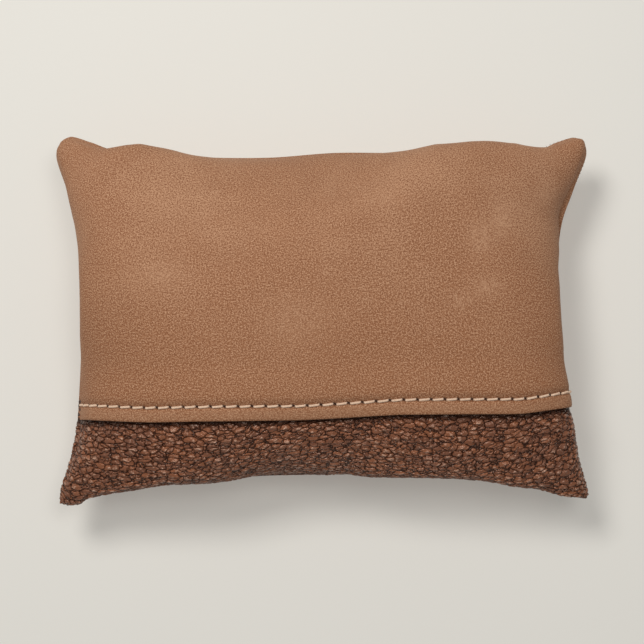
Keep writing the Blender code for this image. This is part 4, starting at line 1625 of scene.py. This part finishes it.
@dataclass
class LeatherCover:
    """The cover's three panels."""

    form: PillowForm
    hem: Hem
    nubuck: Nubuck = Nubuck()
    pebbled: PebbledLeather = PebbledLeather()
    underlap: float = 15.0 * MM
    sink: float = 0.55 * MM
    sink_under: float = 1.7 * MM
    sink_fade: float = 9 * MM
    lip_grain: float = 0.25
    covered_grain: float = 0.35
    upper_grid: tuple[int, int] = (500, 110)
    lower_grid: tuple[int, int] = (640, 132)
    back_grid: tuple[int, int] = (340, 250)
    fold_rows: int = 13
    under_rows: int = 8
    stitched: Pair = (17 * MM, 0.42 * MM)
    settling: tuple[float, int] = (17.4 * MM, 14)
    scuffs: tuple = ((117.0, 62.0, 9.0, 13.0, 0.45), (133.0, 74.0, 7.0, 12.0, 0.45),
                     (169.0, 96.0, 8.0, 9.0, 0.4), (122.0, 25.0, 11.0, 8.0, 0.4),
                     (102.0, 15.0, 8.0, 6.0, 0.35), (-16.0, 0.0, 26.0, 18.0, 0.25),
                     (-118.0, 34.0, 18.0, 10.0, 0.25), (46.0, 88.0, 16.0, 8.0, 0.2))

    def scuffed(self, points: Array) -> Array:
        """How much paler the nap is where it was scuffed.

        Args:
            points: Points of the panel.

        Returns:
            A share for each point.
        """
        across, up = points[..., 0] / MM, points[..., 1] / MM
        return sum(share * np.exp(-((across - x) / wide) ** 2 - ((up - y) / high) ** 2)
                   for x, y, wide, high, share in self.scuffs)

    def build(self) -> list[bpy.types.Object]:
        """Builds and dresses the panels.

        Returns:
            The panels.
        """
        return [self.upper(), self.lower(), self.back()]

    def finished(self, obj: bpy.types.Object, node: str, finish: Finish) -> bpy.types.Object:
        """Dresses a panel and hands it to the frame.

        Args:
            obj: The panel.
            node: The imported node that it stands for.
            finish: Its material.

        Returns:
            The same object.
        """
        hand_over(obj, finish, node)
        return obj

    def upper(self) -> bpy.types.Object:
        """The tan upper panel, with its hem.

        Returns:
            The panel.
        """
        panel = Panel(self.form, Side.FRONT, "upper_front_leather")
        hem = self.hem
        columns, rows_above = self.upper_grid
        u, u_level = panel.ringed(np.linspace(0, 1, columns))
        turn = np.linspace(0, math.pi, self.fold_rows)
        fold = [(hem.fold_radius * (1 - math.sin(t)), hem.fold_radius * (1 - math.cos(t))) for t in turn]
        under = [(s, 0.0) for s in np.linspace(hem.back, hem.fold_radius, self.under_rows)[:-1]]
        lift = hem.face - 2 * hem.fold_radius
        # Each row holds its fractions up, its lip levels and its heights.
        rows = [(hem.up(u, distance), u_level, (height + lift) * hem.edge_share(u))
                for distance, height in under + fold]
        face = np.concatenate([np.arange(hem.fold_radius + 0.4 * MM, *self.stitched),
                               np.linspace(self.settling[0], hem.settle, self.settling[1])])
        rows += [(hem.up(u, distance), u_level, hem.height(u, np.full_like(u, distance)))
                 for distance in face]
        start = hem.up(u, hem.settle)
        v_fraction, v_level = panel.ringed(np.linspace(0, 1, rows_above)[1:], start=False)
        rows += [(start + (1 - start) * fraction, np.maximum(u_level, row_level), 0 * u)
                 for fraction, row_level in zip(v_fraction, v_level)]
        grid_u = np.tile(u, (len(rows), 1))
        grid_v, level, height = (np.array(column) for column in zip(*rows))
        obj = panel.mesh(grid_u, grid_v, level, height)
        distance = (grid_v - hem.up(grid_u, 0.0)) / np.interp(grid_u, hem.table["u"], hem.table["rate"])
        marks = hem.marks(grid_u, distance)
        # Painted shade on the strip turned under the hem's fold.
        marks[: len(under)] = 0.5
        marks = marks - self.scuffed(read_points(obj.data).reshape(*grid_u.shape, 3))
        set_shares(obj, "marks", marks)
        return self.finished(obj, "front_upper_panel", self.nubuck)

    def lower(self) -> bpy.types.Object:
        """The dark pebbled lower panel, which runs on under the hem.

        Returns:
            The panel.
        """
        panel = Panel(self.form, Side.FRONT, "lower_front_leather")
        columns, rows = self.lower_grid
        u, u_level = panel.ringed(np.linspace(0, 1, columns))
        v_fraction, v_level = panel.ringed(np.linspace(0, 1, rows), end=False)
        top = self.hem.up(u, self.underlap)
        uu = np.broadcast_to(u, (len(v_fraction), len(u)))
        vv = v_fraction[:, None] * top[None, :]
        level = np.maximum(v_level[:, None], u_level[None, :])
        below = (self.hem.up(u, 0.0)[None, :] - vv) * panel.flat[1]
        sunk = -self.sink - self.sink_under * (1 - smoothstep(below, 0, self.sink_fade))
        sunk = sunk * self.hem.away_from_sides(uu)
        obj = panel.mesh(uu, vv, level, np.where(level > 0, 0.0, sunk))
        free = smoothstep(below, -1 * MM, 4 * MM)
        strength = np.where(level > 0, self.lip_grain, self.covered_grain + (1 - self.covered_grain) * free)
        set_shares(obj, "relief", strength)
        # Painted shadow on the lower panel just under the hem.
        set_shares(obj, "marks", 0.85 * (1 - smoothstep(below, 2.5 * MM, 7 * MM)))
        self.pebbled.grain.emboss(obj)
        return self.finished(obj, "front_lower_panel", self.pebbled)

    def back(self) -> bpy.types.Object:
        """The plain tan back panel.

        Returns:
            The panel.
        """
        panel = Panel(self.form, Side.BACK, "back_leather")
        columns, rows = self.back_grid
        u, u_level = panel.ringed(np.linspace(0, 1, columns))
        v, v_level = panel.ringed(np.linspace(0, 1, rows))
        uu, vv = np.meshgrid(u, v)
        level = np.maximum(v_level[:, None], u_level[None, :])
        obj = panel.mesh(uu, vv, level, np.zeros(uu.shape))
        return self.finished(obj, "back_panel", self.nubuck)


# --------------------------------------
# Sewing
# --------------------------------------


@dataclass
class Topstitching:
    """The hem's stitches: three-ply cream thread over the face, and bobbin thread under the lower panel."""

    form: PillowForm
    hem: Hem
    ply_radius: float = 0.5 * MM
    ply_offset: float = 0.43 * MM
    plies: int = 3
    turns: float = 2.6
    points: int = 34
    sunk: float = 1.35 * MM
    rise: float = 1.95 * MM
    dive: float = 0.13
    arch: float = 0.18 * MM
    bobbin_points: int = 1500
    bobbin_ends: float = 4 * MM
    bobbin_depth: float = 2.6 * MM
    bobbin_dip: float = 0.5 * MM
    bobbin_radius: float = 0.42 * MM

    def stitch_frames(self) -> tuple[Array, Array, Array]:
        """The line and the frame of each stitch, of shape (stitches, points, 3).

        Returns:
            Points on the form, normals, and the direction up the panel.
        """
        t = np.linspace(0, 1, self.points)
        reach = self.hem.stitch + 0.5 * MM
        runs = self.hem.stitch_starts()[:, None] - 0.25 * MM + reach * t[None, :]
        u = self.hem.across(runs)
        base = self.form.point(Side.FRONT, u, self.hem.up(u, self.hem.stitch_line))
        normal = self.form.normal(Side.FRONT, u, self.hem.up(u, self.hem.stitch_line))
        uphill = unit(np.cross(normal, unit(np.gradient(base, axis=1))))
        return base, normal, uphill

    def needle(self) -> bpy.types.Object:
        """The thread that shows on the face.

        Returns:
            The thread.
        """
        base, normal, uphill = self.stitch_frames()
        t = np.linspace(0, 1, self.points)
        share = self.hem.edge_share(self.hem.across(self.hem.stitch_starts()))[:, None]
        dive = np.minimum(t, 1 - t) / self.dive
        over = np.where(dive < 1, np.sin(0.5 * math.pi * np.clip(dive, 0, 1)), 1.0)
        arch = self.arch * np.sin(math.pi * t)
        floor = (self.hem.face - self.hem.groove) * share
        height = floor + (self.rise * over - self.sunk + arch)[None, :]
        side = self.hem.slant * (2 * t - 1)[None, :]
        middle = base + normal * height[..., None] + uphill * side[..., None]
        parts = []
        for ply in range(self.plies):
            turn = 2 * math.pi * (self.turns * t + ply / self.plies)
            offset = np.cos(turn)[None, :, None] * uphill + np.sin(turn)[None, :, None] * normal
            parts.append(swept(middle + self.ply_offset * offset, normal, self.ply_radius, 10))
        obj = add_mesh("topstitching", *join_parts(parts))
        return hand_over(obj, CREAM_THREAD, "topstitch_needle_thread")

    def bobbin(self) -> bpy.types.Object:
        """The thread under the lower panel, a line that dips at every hole.

        Returns:
            The thread.
        """
        run = np.linspace(self.bobbin_ends, self.hem.table["run"][-1] - self.bobbin_ends, self.bobbin_points)
        u = self.hem.across(run)
        v = self.hem.up(u, self.hem.stitch_line)
        phase = (run - self.hem.stitch_starts()[0]) % self.hem.pitch
        swing = np.cos(2 * math.pi * (phase - self.hem.stitch / 2) / self.hem.pitch)
        depth = self.bobbin_depth + self.bobbin_dip * swing
        normal = self.form.normal(Side.FRONT, u, v)
        path = self.form.point(Side.FRONT, u, v) - normal * depth[:, None]
        obj = add_mesh("bobbin_thread", *swept(path[None], normal[None], self.bobbin_radius, 8))
        return hand_over(obj, CREAM_THREAD, "topstitch_bobbin_thread")

    def build(self) -> list[bpy.types.Object]:
        """Builds both threads.

        Returns:
            The needle's thread and the bobbin's.
        """
        return [self.needle(), self.bobbin()]


@dataclass
class SeamStitches:
    """The thread of the seam, seen as short bars deep in the crease between the front and the back."""

    form: PillowForm
    pitch: float = 3.2 * MM
    depth: float = 1.15 * MM
    radius: float = 0.2 * MM
    reach: float = 0.75 * MM
    bow: float = 0.35 * MM

    def build(self) -> list[bpy.types.Object]:
        """Builds the bars all round, but for the zip's stretch.

        Returns:
            The thread.
        """
        loops = []
        for name in ("bottom", "right", "top", "left"):
            line = self.form.seam.side(name, self.form.zipper)[0]
            loops.append(line if name in ("bottom", "right") else line[::-1])
        loop = np.concatenate(loops)
        run = np.concatenate([[0], np.cumsum(np.linalg.norm(np.diff(loop, axis=0), axis=1))])
        at = np.arange(0, run[-1], self.pitch)
        spots = np.stack([np.interp(at, run, loop[:, k]) for k in (0, 1)] + [0 * at], -1)
        zipper = self.form.zipper
        angle = np.arctan2(spots[:, 0] - zipper.centre[0], spots[:, 1] - zipper.centre[1])
        on_zip = (np.abs(angle) < zipper.half_angle + 0.01) & (spots[:, 1] < 0)
        spots = self.form.inset(spots[~on_zip], self.depth)
        t = np.linspace(-1, 1, 7)
        paths = np.repeat(spots[:, None], len(t), axis=1)
        outward = unit(spots * [1, 1.4, 0])[:, None]
        paths[..., 2] = self.form.seam_height + self.reach * t[None, :]
        paths = paths + outward * (self.bow * (1 - t**2))[None, :, None]
        points, faces = swept(paths, np.broadcast_to(outward, paths.shape), self.radius, 6)
        return [hand_over(add_mesh("seam_thread", points, faces), BROWN_THREAD, "perimeter_seam_thread")]


# --------------------------------------
# Zip
# --------------------------------------


@dataclass
class Zip:
    """The zip in the bottom seam: coils, tapes, stitches, slider and pull tab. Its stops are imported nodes."""

    form: PillowForm
    path: ZipPath
    tape_section: tuple = ((0.65, 5.45), (2.5, 5.45), (4.4, 5.45), (6.5, 5.4), (9.0, 5.2), (11.0, 5.6),
                           (13.0, 6.2))
    tape_thickness: float = 0.5 * MM
    tape_room: float = 1.5 * MM
    tape_free: float = 4.5 * MM
    tape_behind: float = 1.9 * MM
    sewn_height: float = 7.5 * MM
    sewn_pitch: float = 3.4 * MM
    sewn_share: float = 0.78
    sewn_radius: float = 0.27 * MM
    coil_pitch: float = 1.3 * MM
    wire: float = 0.3 * MM
    teeth: Pair = (3.5 * MM, 4.85 * MM)
    inner_edge: float = 0.34 * MM
    outer_edge: float = 2.4 * MM
    end_room: float = 3.4 * MM
    outer_plate: Pair = (2.2 * MM, 3.2 * MM)
    inner_plate: Pair = (6.05 * MM, 7.05 * MM)
    slider_length: float = 9.0 * MM
    slider_half: float = 3.4 * MM
    crown_depth: float = -0.9 * MM
    tab_length: float = 20.0 * MM
    tab_width: float = 4.8 * MM
    tab_thickness: float = 0.8 * MM

    def coil(self, side: Side) -> bpy.types.Object:
        """One row of coil: a filament wound round its edge of the tape.

        Args:
            side: Whose row.

        Returns:
            The coil.
        """
        rail = self.path.half_angle - self.end_room / self.path.radius
        pitch = self.coil_pitch / self.path.radius
        turns = int(2 * rail / pitch) - 1
        steps = 12
        turn = 2 * math.pi * np.arange(turns * steps + 1) / steps
        angle = -rail + pitch * (0.5 + (0.25 if side is Side.FRONT else -0.25) + turn / (2 * math.pi))
        middle = (self.inner_edge + self.outer_edge) / 2
        swing = (self.outer_edge - self.inner_edge) / 2 - self.wire
        depth_middle = sum(self.teeth) / 2
        depth_swing = (self.teeth[1] - self.teeth[0]) / 2 - self.wire
        square = np.sign(np.cos(turn)) * np.abs(np.cos(turn)) ** 0.7
        path = self.path.point(angle, depth_middle + depth_swing * np.sin(turn),
                               side.value * (middle + swing * square))
        points, faces = swept(path[None], towards(0, path)[None], self.wire, 7)
        obj = add_mesh(f"zip_coil_{side.name.lower()}", points, faces)
        return hand_over(obj, Nylon(), f"zip_teeth_{side.name.lower()}")

    def tape(self, side: Side) -> bpy.types.Object:
        """One tape: it stands behind the leather's wall and follows it.

        Args:
            side: Whose tape.

        Returns:
            The tape.
        """
        rail = self.path.half_angle - self.tape_room / self.path.radius
        section = np.array(self.tape_section) * MM
        angle, height = np.meshgrid(np.linspace(-rail, rail, 260), section[:, 0])
        depth = np.broadcast_to(section[:, 1:], angle.shape)
        behind = self.form.wall_depth(side, angle, height) + self.tape_behind
        depth = np.where(height > self.tape_free, np.maximum(depth, behind), depth)
        points = self.path.point(angle, depth, side.value * height)
        quads = grid_quads(np.arange(angle.size).reshape(angle.shape))
        obj = add_mesh(f"tape_{side.name.lower()}", points, quads)
        thick = obj.modifiers.new("cloth", "SOLIDIFY")
        thick.thickness = self.tape_thickness
        thick.offset = 0
        bake_modifiers(obj)
        return hand_over(obj, ZIP_TAPE, f"zip_tape_{side.name.lower()}")

    def sewing(self, side: Side) -> bpy.types.Object:
        """The row of stitches through the leather and one tape.

        Args:
            side: Whose tape.

        Returns:
            The thread.
        """
        pitch = self.sewn_pitch / self.path.radius
        starts = np.arange(-self.path.half_angle, self.path.half_angle - pitch, pitch)
        t = np.linspace(0, 1, 9)
        angle = starts[:, None] + self.sewn_share * pitch * t[None, :]
        height = np.full(angle.shape, self.sewn_height)
        dive = 0.9 * MM * np.abs(2 * t - 1) ** 4 - 0.15 * MM
        depth = self.form.wall_depth(side, angle, height) + dive[None, :]
        path = self.path.point(angle, depth, side.value * height)
        obj = add_mesh(f"zip_sewing_{side.name.lower()}", *swept(path, towards(2, path), self.sewn_radius, 7))
        return hand_over(obj, BROWN_THREAD, f"zip_stitch_{side.name.lower()}")

    def slider(self) -> bpy.types.Object:
        """The slider: two shaped plates with lips, a post between them, and an arched crown.

        Returns:
            The slider, at its place when the zip is closed.
        """
        half, length = self.slider_half, self.slider_length / 2
        nose = [(length, half - 0.9 * MM), (length - 1.2 * MM, half), (-length + 1.6 * MM, half - 0.3 * MM),
                (-length, half - 1.1 * MM)]
        outline = nose + [(x, -y) for x, y in reversed(nose)]
        parts = []
        for near, far in (self.outer_plate, self.inner_plate):
            plate = flat_plate("scratch_plate", [outline], far - near, 0.22 * MM)
            points = read_points(plate.data)
            # The plate's XY plane stands up: its X runs along the zip, its Y up, its thickness inwards.
            points = np.stack([points[:, 0], (near + far) / 2 - points[:, 2], points[:, 1]], -1)
            parts.append((points, [list(face.vertices) for face in plate.data.polygons]))
            bpy.data.objects.remove(plate)
        depth = self.teeth[1] - self.outer_plate[1]
        lip_size = (self.slider_length - 2.2 * MM, depth + 0.3 * MM, 0.55 * MM)
        for sign in (1, -1):
            centre = (0, self.outer_plate[1] + depth / 2 - 0.15 * MM, sign * (half - 0.35 * MM))
            parts.append(rounded_box(lip_size, centre, 0.12 * MM))
        gap = self.inner_plate[0] - self.outer_plate[1] + 0.4 * MM
        post = (length - 1.6 * MM, (self.outer_plate[1] + self.inner_plate[0]) / 2, 0)
        parts.append(rounded_box((2.5 * MM, gap, 0.44 * MM), post, 0.1 * MM))
        parts.append(self.crown())
        obj = add_mesh("zip_slider", *join_parts(parts))
        obj.data.set_sharp_from_angle(angle=math.radians(38))
        obj.matrix_world = self.path.stand(self.path.rest_angle)
        return hand_over(obj, AgedBrass(), "zip_slider_body", body="zip_slider")

    def crown(self) -> tuple[Array, list]:
        """The arch over the outer plate that the pull tab's bar lies in.

        Returns:
            Its vertices and faces.
        """
        foot = self.outer_plate[0] + 0.15 * MM
        reach, rise = 1.7 * MM, self.crown_depth - 1.25 * MM - foot
        t = np.linspace(0, math.pi, 25)
        along = reach * np.cos(t) * (1 + 0.25 * (1 - np.sin(t)))
        path = np.stack([along, foot + rise * np.sin(t) ** 0.75, 0 * t], -1)
        return swept(path[None], towards(2, path)[None], 0.42 * MM, 12, 1.5)

    def tab(self) -> bpy.types.Object:
        """The pull tab: an open yoke round the crown, and a teardrop leaf with a hole in its end.

        Returns:
            The tab, lying flat against the seam.
        """
        half, bar = self.tab_width / 2, 0.4 * MM
        end = -self.tab_length + half
        waist = 1.35 * MM
        outside = [(bar, half - 0.5 * MM), (bar - 0.5 * MM, half), (-3.2 * MM, half - 0.1 * MM),
                   (-6.4 * MM, waist + 0.3 * MM), (-9.0 * MM, waist), (-12.5 * MM, waist + 0.35 * MM),
                   *arc((end, 0.0), half, 62, 298, 19),
                   (-12.5 * MM, -waist - 0.35 * MM), (-9.0 * MM, -waist), (-6.4 * MM, -waist - 0.3 * MM),
                   (-3.2 * MM, 0.1 * MM - half), (bar - 0.5 * MM, -half), (bar, 0.5 * MM - half)]
        inner = half - 1.1 * MM
        window = [(-bar, inner), *arc((-3.0 * MM, 0.0), inner, 90, 270, 11), (-bar, -inner)]
        hole = arc((end, 0.0), 1.1 * MM, 0, 345, 24)
        obj = flat_plate("zip_pull", [outside, window, hole], self.tab_thickness, 0.16 * MM)
        stand = self.path.stand(self.path.rest_angle) @ Matrix.Translation((0, self.crown_depth, 0))
        obj.matrix_world = stand @ Matrix.Rotation(math.pi / 2, 4, "X")
        return hand_over(obj, AgedBrass(), "zip_pull_tab", body="pull_tab")

    def build(self) -> list[bpy.types.Object]:
        """Builds the zip's pieces.

        Returns:
            The pieces.
        """
        rows = [make(side) for make in (self.coil, self.tape, self.sewing) for side in Side]
        return [*rows, self.slider(), self.tab()]


# --------------------------------------
# Insert
# --------------------------------------


@dataclass
class Insert:
    """The cotton-cased insert and its fill, inside the cover."""

    form: PillowForm
    inset: float = 14.0 * MM
    under: float = 3.2 * MM
    cloth: float = 0.4 * MM
    columns: int = 120
    rows: int = 90
    lump_span: float = 60 * MM
    parting: float = 0.2 * MM
    lowest: float = 2.0 * MM
    closing_reach: float = 70 * MM
    closing_pitch: float = 3.5 * MM

    def shell(self, side: Side, depth: float, lumps: float) -> tuple[Array, Array]:
        """A grid inside one face of the cover.

        Args:
            side: Front or back.
            depth: How far it lies under the cover's face.
            lumps: The height of its lumps.

        Returns:
            The points and their vertex numbers, in rows and columns.
        """
        u, v = np.meshgrid(np.linspace(0, 1, self.columns), np.linspace(0, 1, self.rows))
        points = self.form.inset(self.form.point(side, u, v), self.inset + depth)
        plane = self.form.seam_height
        rise = points[..., 2] - plane
        rise = side.value * np.maximum(np.abs(rise) - self.form.lip_radius - self.form.gap(points, v), 0.0)
        high = np.abs(rise).max()
        rise = rise * (high - self.under - depth) / high
        lump = ripple(points[..., 0], [(0.061, 0.4, 0.5), (0.037, 1.0, 0.5)])
        lump = lump * ripple(points[..., 1], [(0.053, 1.2, 0.5), (0.031, 0.1, 0.5)])
        # The casing's two rims stand a little apart, while the fill's two halves meet.
        parting = self.parting if depth < MM else 0.0
        points[..., 2] = plane + rise * (1 + lumps * lump / self.lump_span) + side.value * parting
        points[..., 2] = np.maximum(points[..., 2], self.lowest + depth)
        return points, np.arange(u.size).reshape(u.shape)

    def casing(self, side: Side) -> bpy.types.Object:
        """One panel of the casing, with the cloth's thickness.

        Args:
            side: Front or back.

        Returns:
            The panel.
        """
        name = f"casing_{side.name.lower()}"
        points, index = self.shell(side, 0.0, 0.25 * MM)
        quads = grid_quads(index)[:, ::side.value]
        obj = add_mesh(name, points, quads)
        thick = obj.modifiers.new("cloth", "SOLIDIFY")
        thick.thickness = self.cloth
        bake_modifiers(obj)
        return hand_over(obj, INSERT_COTTON, f"insert_{name}")

    def fill(self) -> bpy.types.Object:
        """The fibre, one lumpy closed body.

        Returns:
            The fill.
        """
        parts = []
        for side in Side:
            points, index = self.shell(side, 1.6 * MM, 0.6 * MM)
            parts.append((points.reshape(-1, 3), grid_quads(index)[:, ::side.value].tolist()))
        obj = add_mesh("fibre_body", *join_parts(parts))
        weld = obj.modifiers.new("rim", "WELD")
        weld.merge_threshold = 0.0001
        bake_modifiers(obj)
        hand_over(obj, Fibre(), "fibre_fill")
        return obj

    def closing(self) -> bpy.types.Object:
        """The whipstitches that close the casing at the middle of its lower rim.

        Returns:
            The thread.
        """
        rim = self.shell(Side.FRONT, 0.0, 0.0)[0][0]
        x = np.arange(-self.closing_reach, self.closing_reach, self.closing_pitch)
        spots = np.stack([x, np.interp(x, rim[:, 0], rim[:, 1]), np.full_like(x, self.form.seam_height)], -1)
        t = np.linspace(-1, 1, 9)
        paths = np.repeat(spots[:, None], len(t), axis=1)
        paths[..., 0] += 0.9 * MM * t
        paths[..., 1] += 0.9 * MM * t**2 - 0.75 * MM
        paths[..., 2] += 0.8 * MM * t
        obj = add_mesh("closing_stitches", *swept(paths, towards(1, paths), 0.25 * MM, 6))
        return hand_over(obj, CREAM_THREAD, "insert_closing_stitch")

    def build(self) -> list[bpy.types.Object]:
        """Builds the casing, its closing stitches and the fill.

        Returns:
            The pieces.
        """
        return [self.casing(Side.FRONT), self.casing(Side.BACK), self.closing(), self.fill()]


# --------------------------------------
# Studio
# --------------------------------------


@dataclass
class Studio:
    """Pale floor, soft light from the upper left, and a camera straight above."""

    seam_height: float
    field_width: float = 0.4927
    lens: float = 100.0
    sensor: float = 36.0
    aim: Pair = (0.0004, -0.0008)
    sky: Colour = (1.0, 0.985, 0.965)
    sky_strength: float = 0.2
    floor_half: float = 4.0
    floor_drop: float = 2e-5

    @property
    def eye_distance(self) -> float:
        """How far the camera is above the seam's plane."""
        return self.field_width * self.lens / self.sensor

    def camera(self) -> None:
        """Adds the camera."""
        data = bpy.data.cameras.new("camera")
        data.lens = self.lens
        data.sensor_width = self.sensor
        data.clip_start = 0.01
        eye = bpy.data.objects.new("camera", data)
        eye.location = (*self.aim, self.seam_height + self.eye_distance)
        bpy.context.scene.collection.objects.link(eye)
        bpy.context.scene.camera = eye

    def light(self, name: str, place: tuple[float, float, float], size: float, power: float,
              colour: Colour) -> None:
        """Adds a square area light that faces the pillow.

        Args:
            name: The light's name.
            place: Where it stands.
            size: Its side.
            power: In watts.
            colour: Linear RGB.
        """
        data = bpy.data.lights.new(name, "AREA")
        data.shape = "SQUARE"
        data.size = size
        data.energy = power
        data.color = colour
        lamp = bpy.data.objects.new(name, data)
        lamp.location = place
        towards_pillow = Vector((0, 0, self.seam_height)) - Vector(place)
        lamp.rotation_euler = towards_pillow.to_track_quat("-Z", "Y").to_euler()
        bpy.context.scene.collection.objects.link(lamp)

    def build(self) -> None:
        """Adds the floor, the lights, the world and the camera."""
        bpy.context.scene.view_settings.view_transform = "Standard"
        world = bpy.data.worlds.new("studio")
        world.use_nodes = True
        background = world.node_tree.nodes["Background"]
        background.inputs["Color"].default_value = (*self.sky, 1)
        background.inputs["Strength"].default_value = self.sky_strength
        bpy.context.scene.world = world
        half = self.floor_half
        corners = [(x, y, -self.floor_drop) for y in (-half, half) for x in (-half, half)]
        floor = add_mesh("floor", np.array(corners), grid_quads(np.arange(4).reshape(2, 2)))
        StudioFloor().put_on(floor)
        self.light("key", (-0.48, 0.72, 1.6), size=0.5, power=17.5, colour=(1.0, 0.975, 0.945))
        self.light("overhead", (0.25, 0.3, 1.9), size=0.5, power=7.5, colour=(1.0, 0.99, 0.97))
        self.camera()


# --------------------------------------


def dress_packed_nodes(frame: dict[str, Any]) -> None:
    """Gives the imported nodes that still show, the zip's stops, their brass.
    """
    for name in ("zip_bottom_stop", "zip_top_stop_front", "zip_top_stop_back"):
        for slot in frame["nodes"][name].material_slots:
            slot.material = AgedBrass().material()


def main() -> None:
    """Builds the pillow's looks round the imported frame."""
    logging.basicConfig(level=logging.INFO, format="%(message)s")
    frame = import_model()
    joint = next(j for j in frame["joints"] if j["name"] == "zip_slide")
    zip_path = ZipPath(centre=tuple(joint["pos_m"]))
    seam_height = joint["pos_m"][2]
    studio = Studio(seam_height)
    studio.build()
    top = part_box("front_upper_panel")[1].z
    form = PillowForm(SeamLine(), zip_path, InflatedBag(), seam_height, top, studio.eye_distance)
    hem = Hem(form)
    assemblies = (LeatherCover(form, hem), Topstitching(form, hem), SeamStitches(form), Zip(form, zip_path),
                  Insert(form))
    for assembly in assemblies:
        for piece in assembly.build():
            LOG.info("%s: %d faces", piece.name, len(piece.data.polygons))
    dress_packed_nodes(frame)


if __name__ == "__main__":
    main()
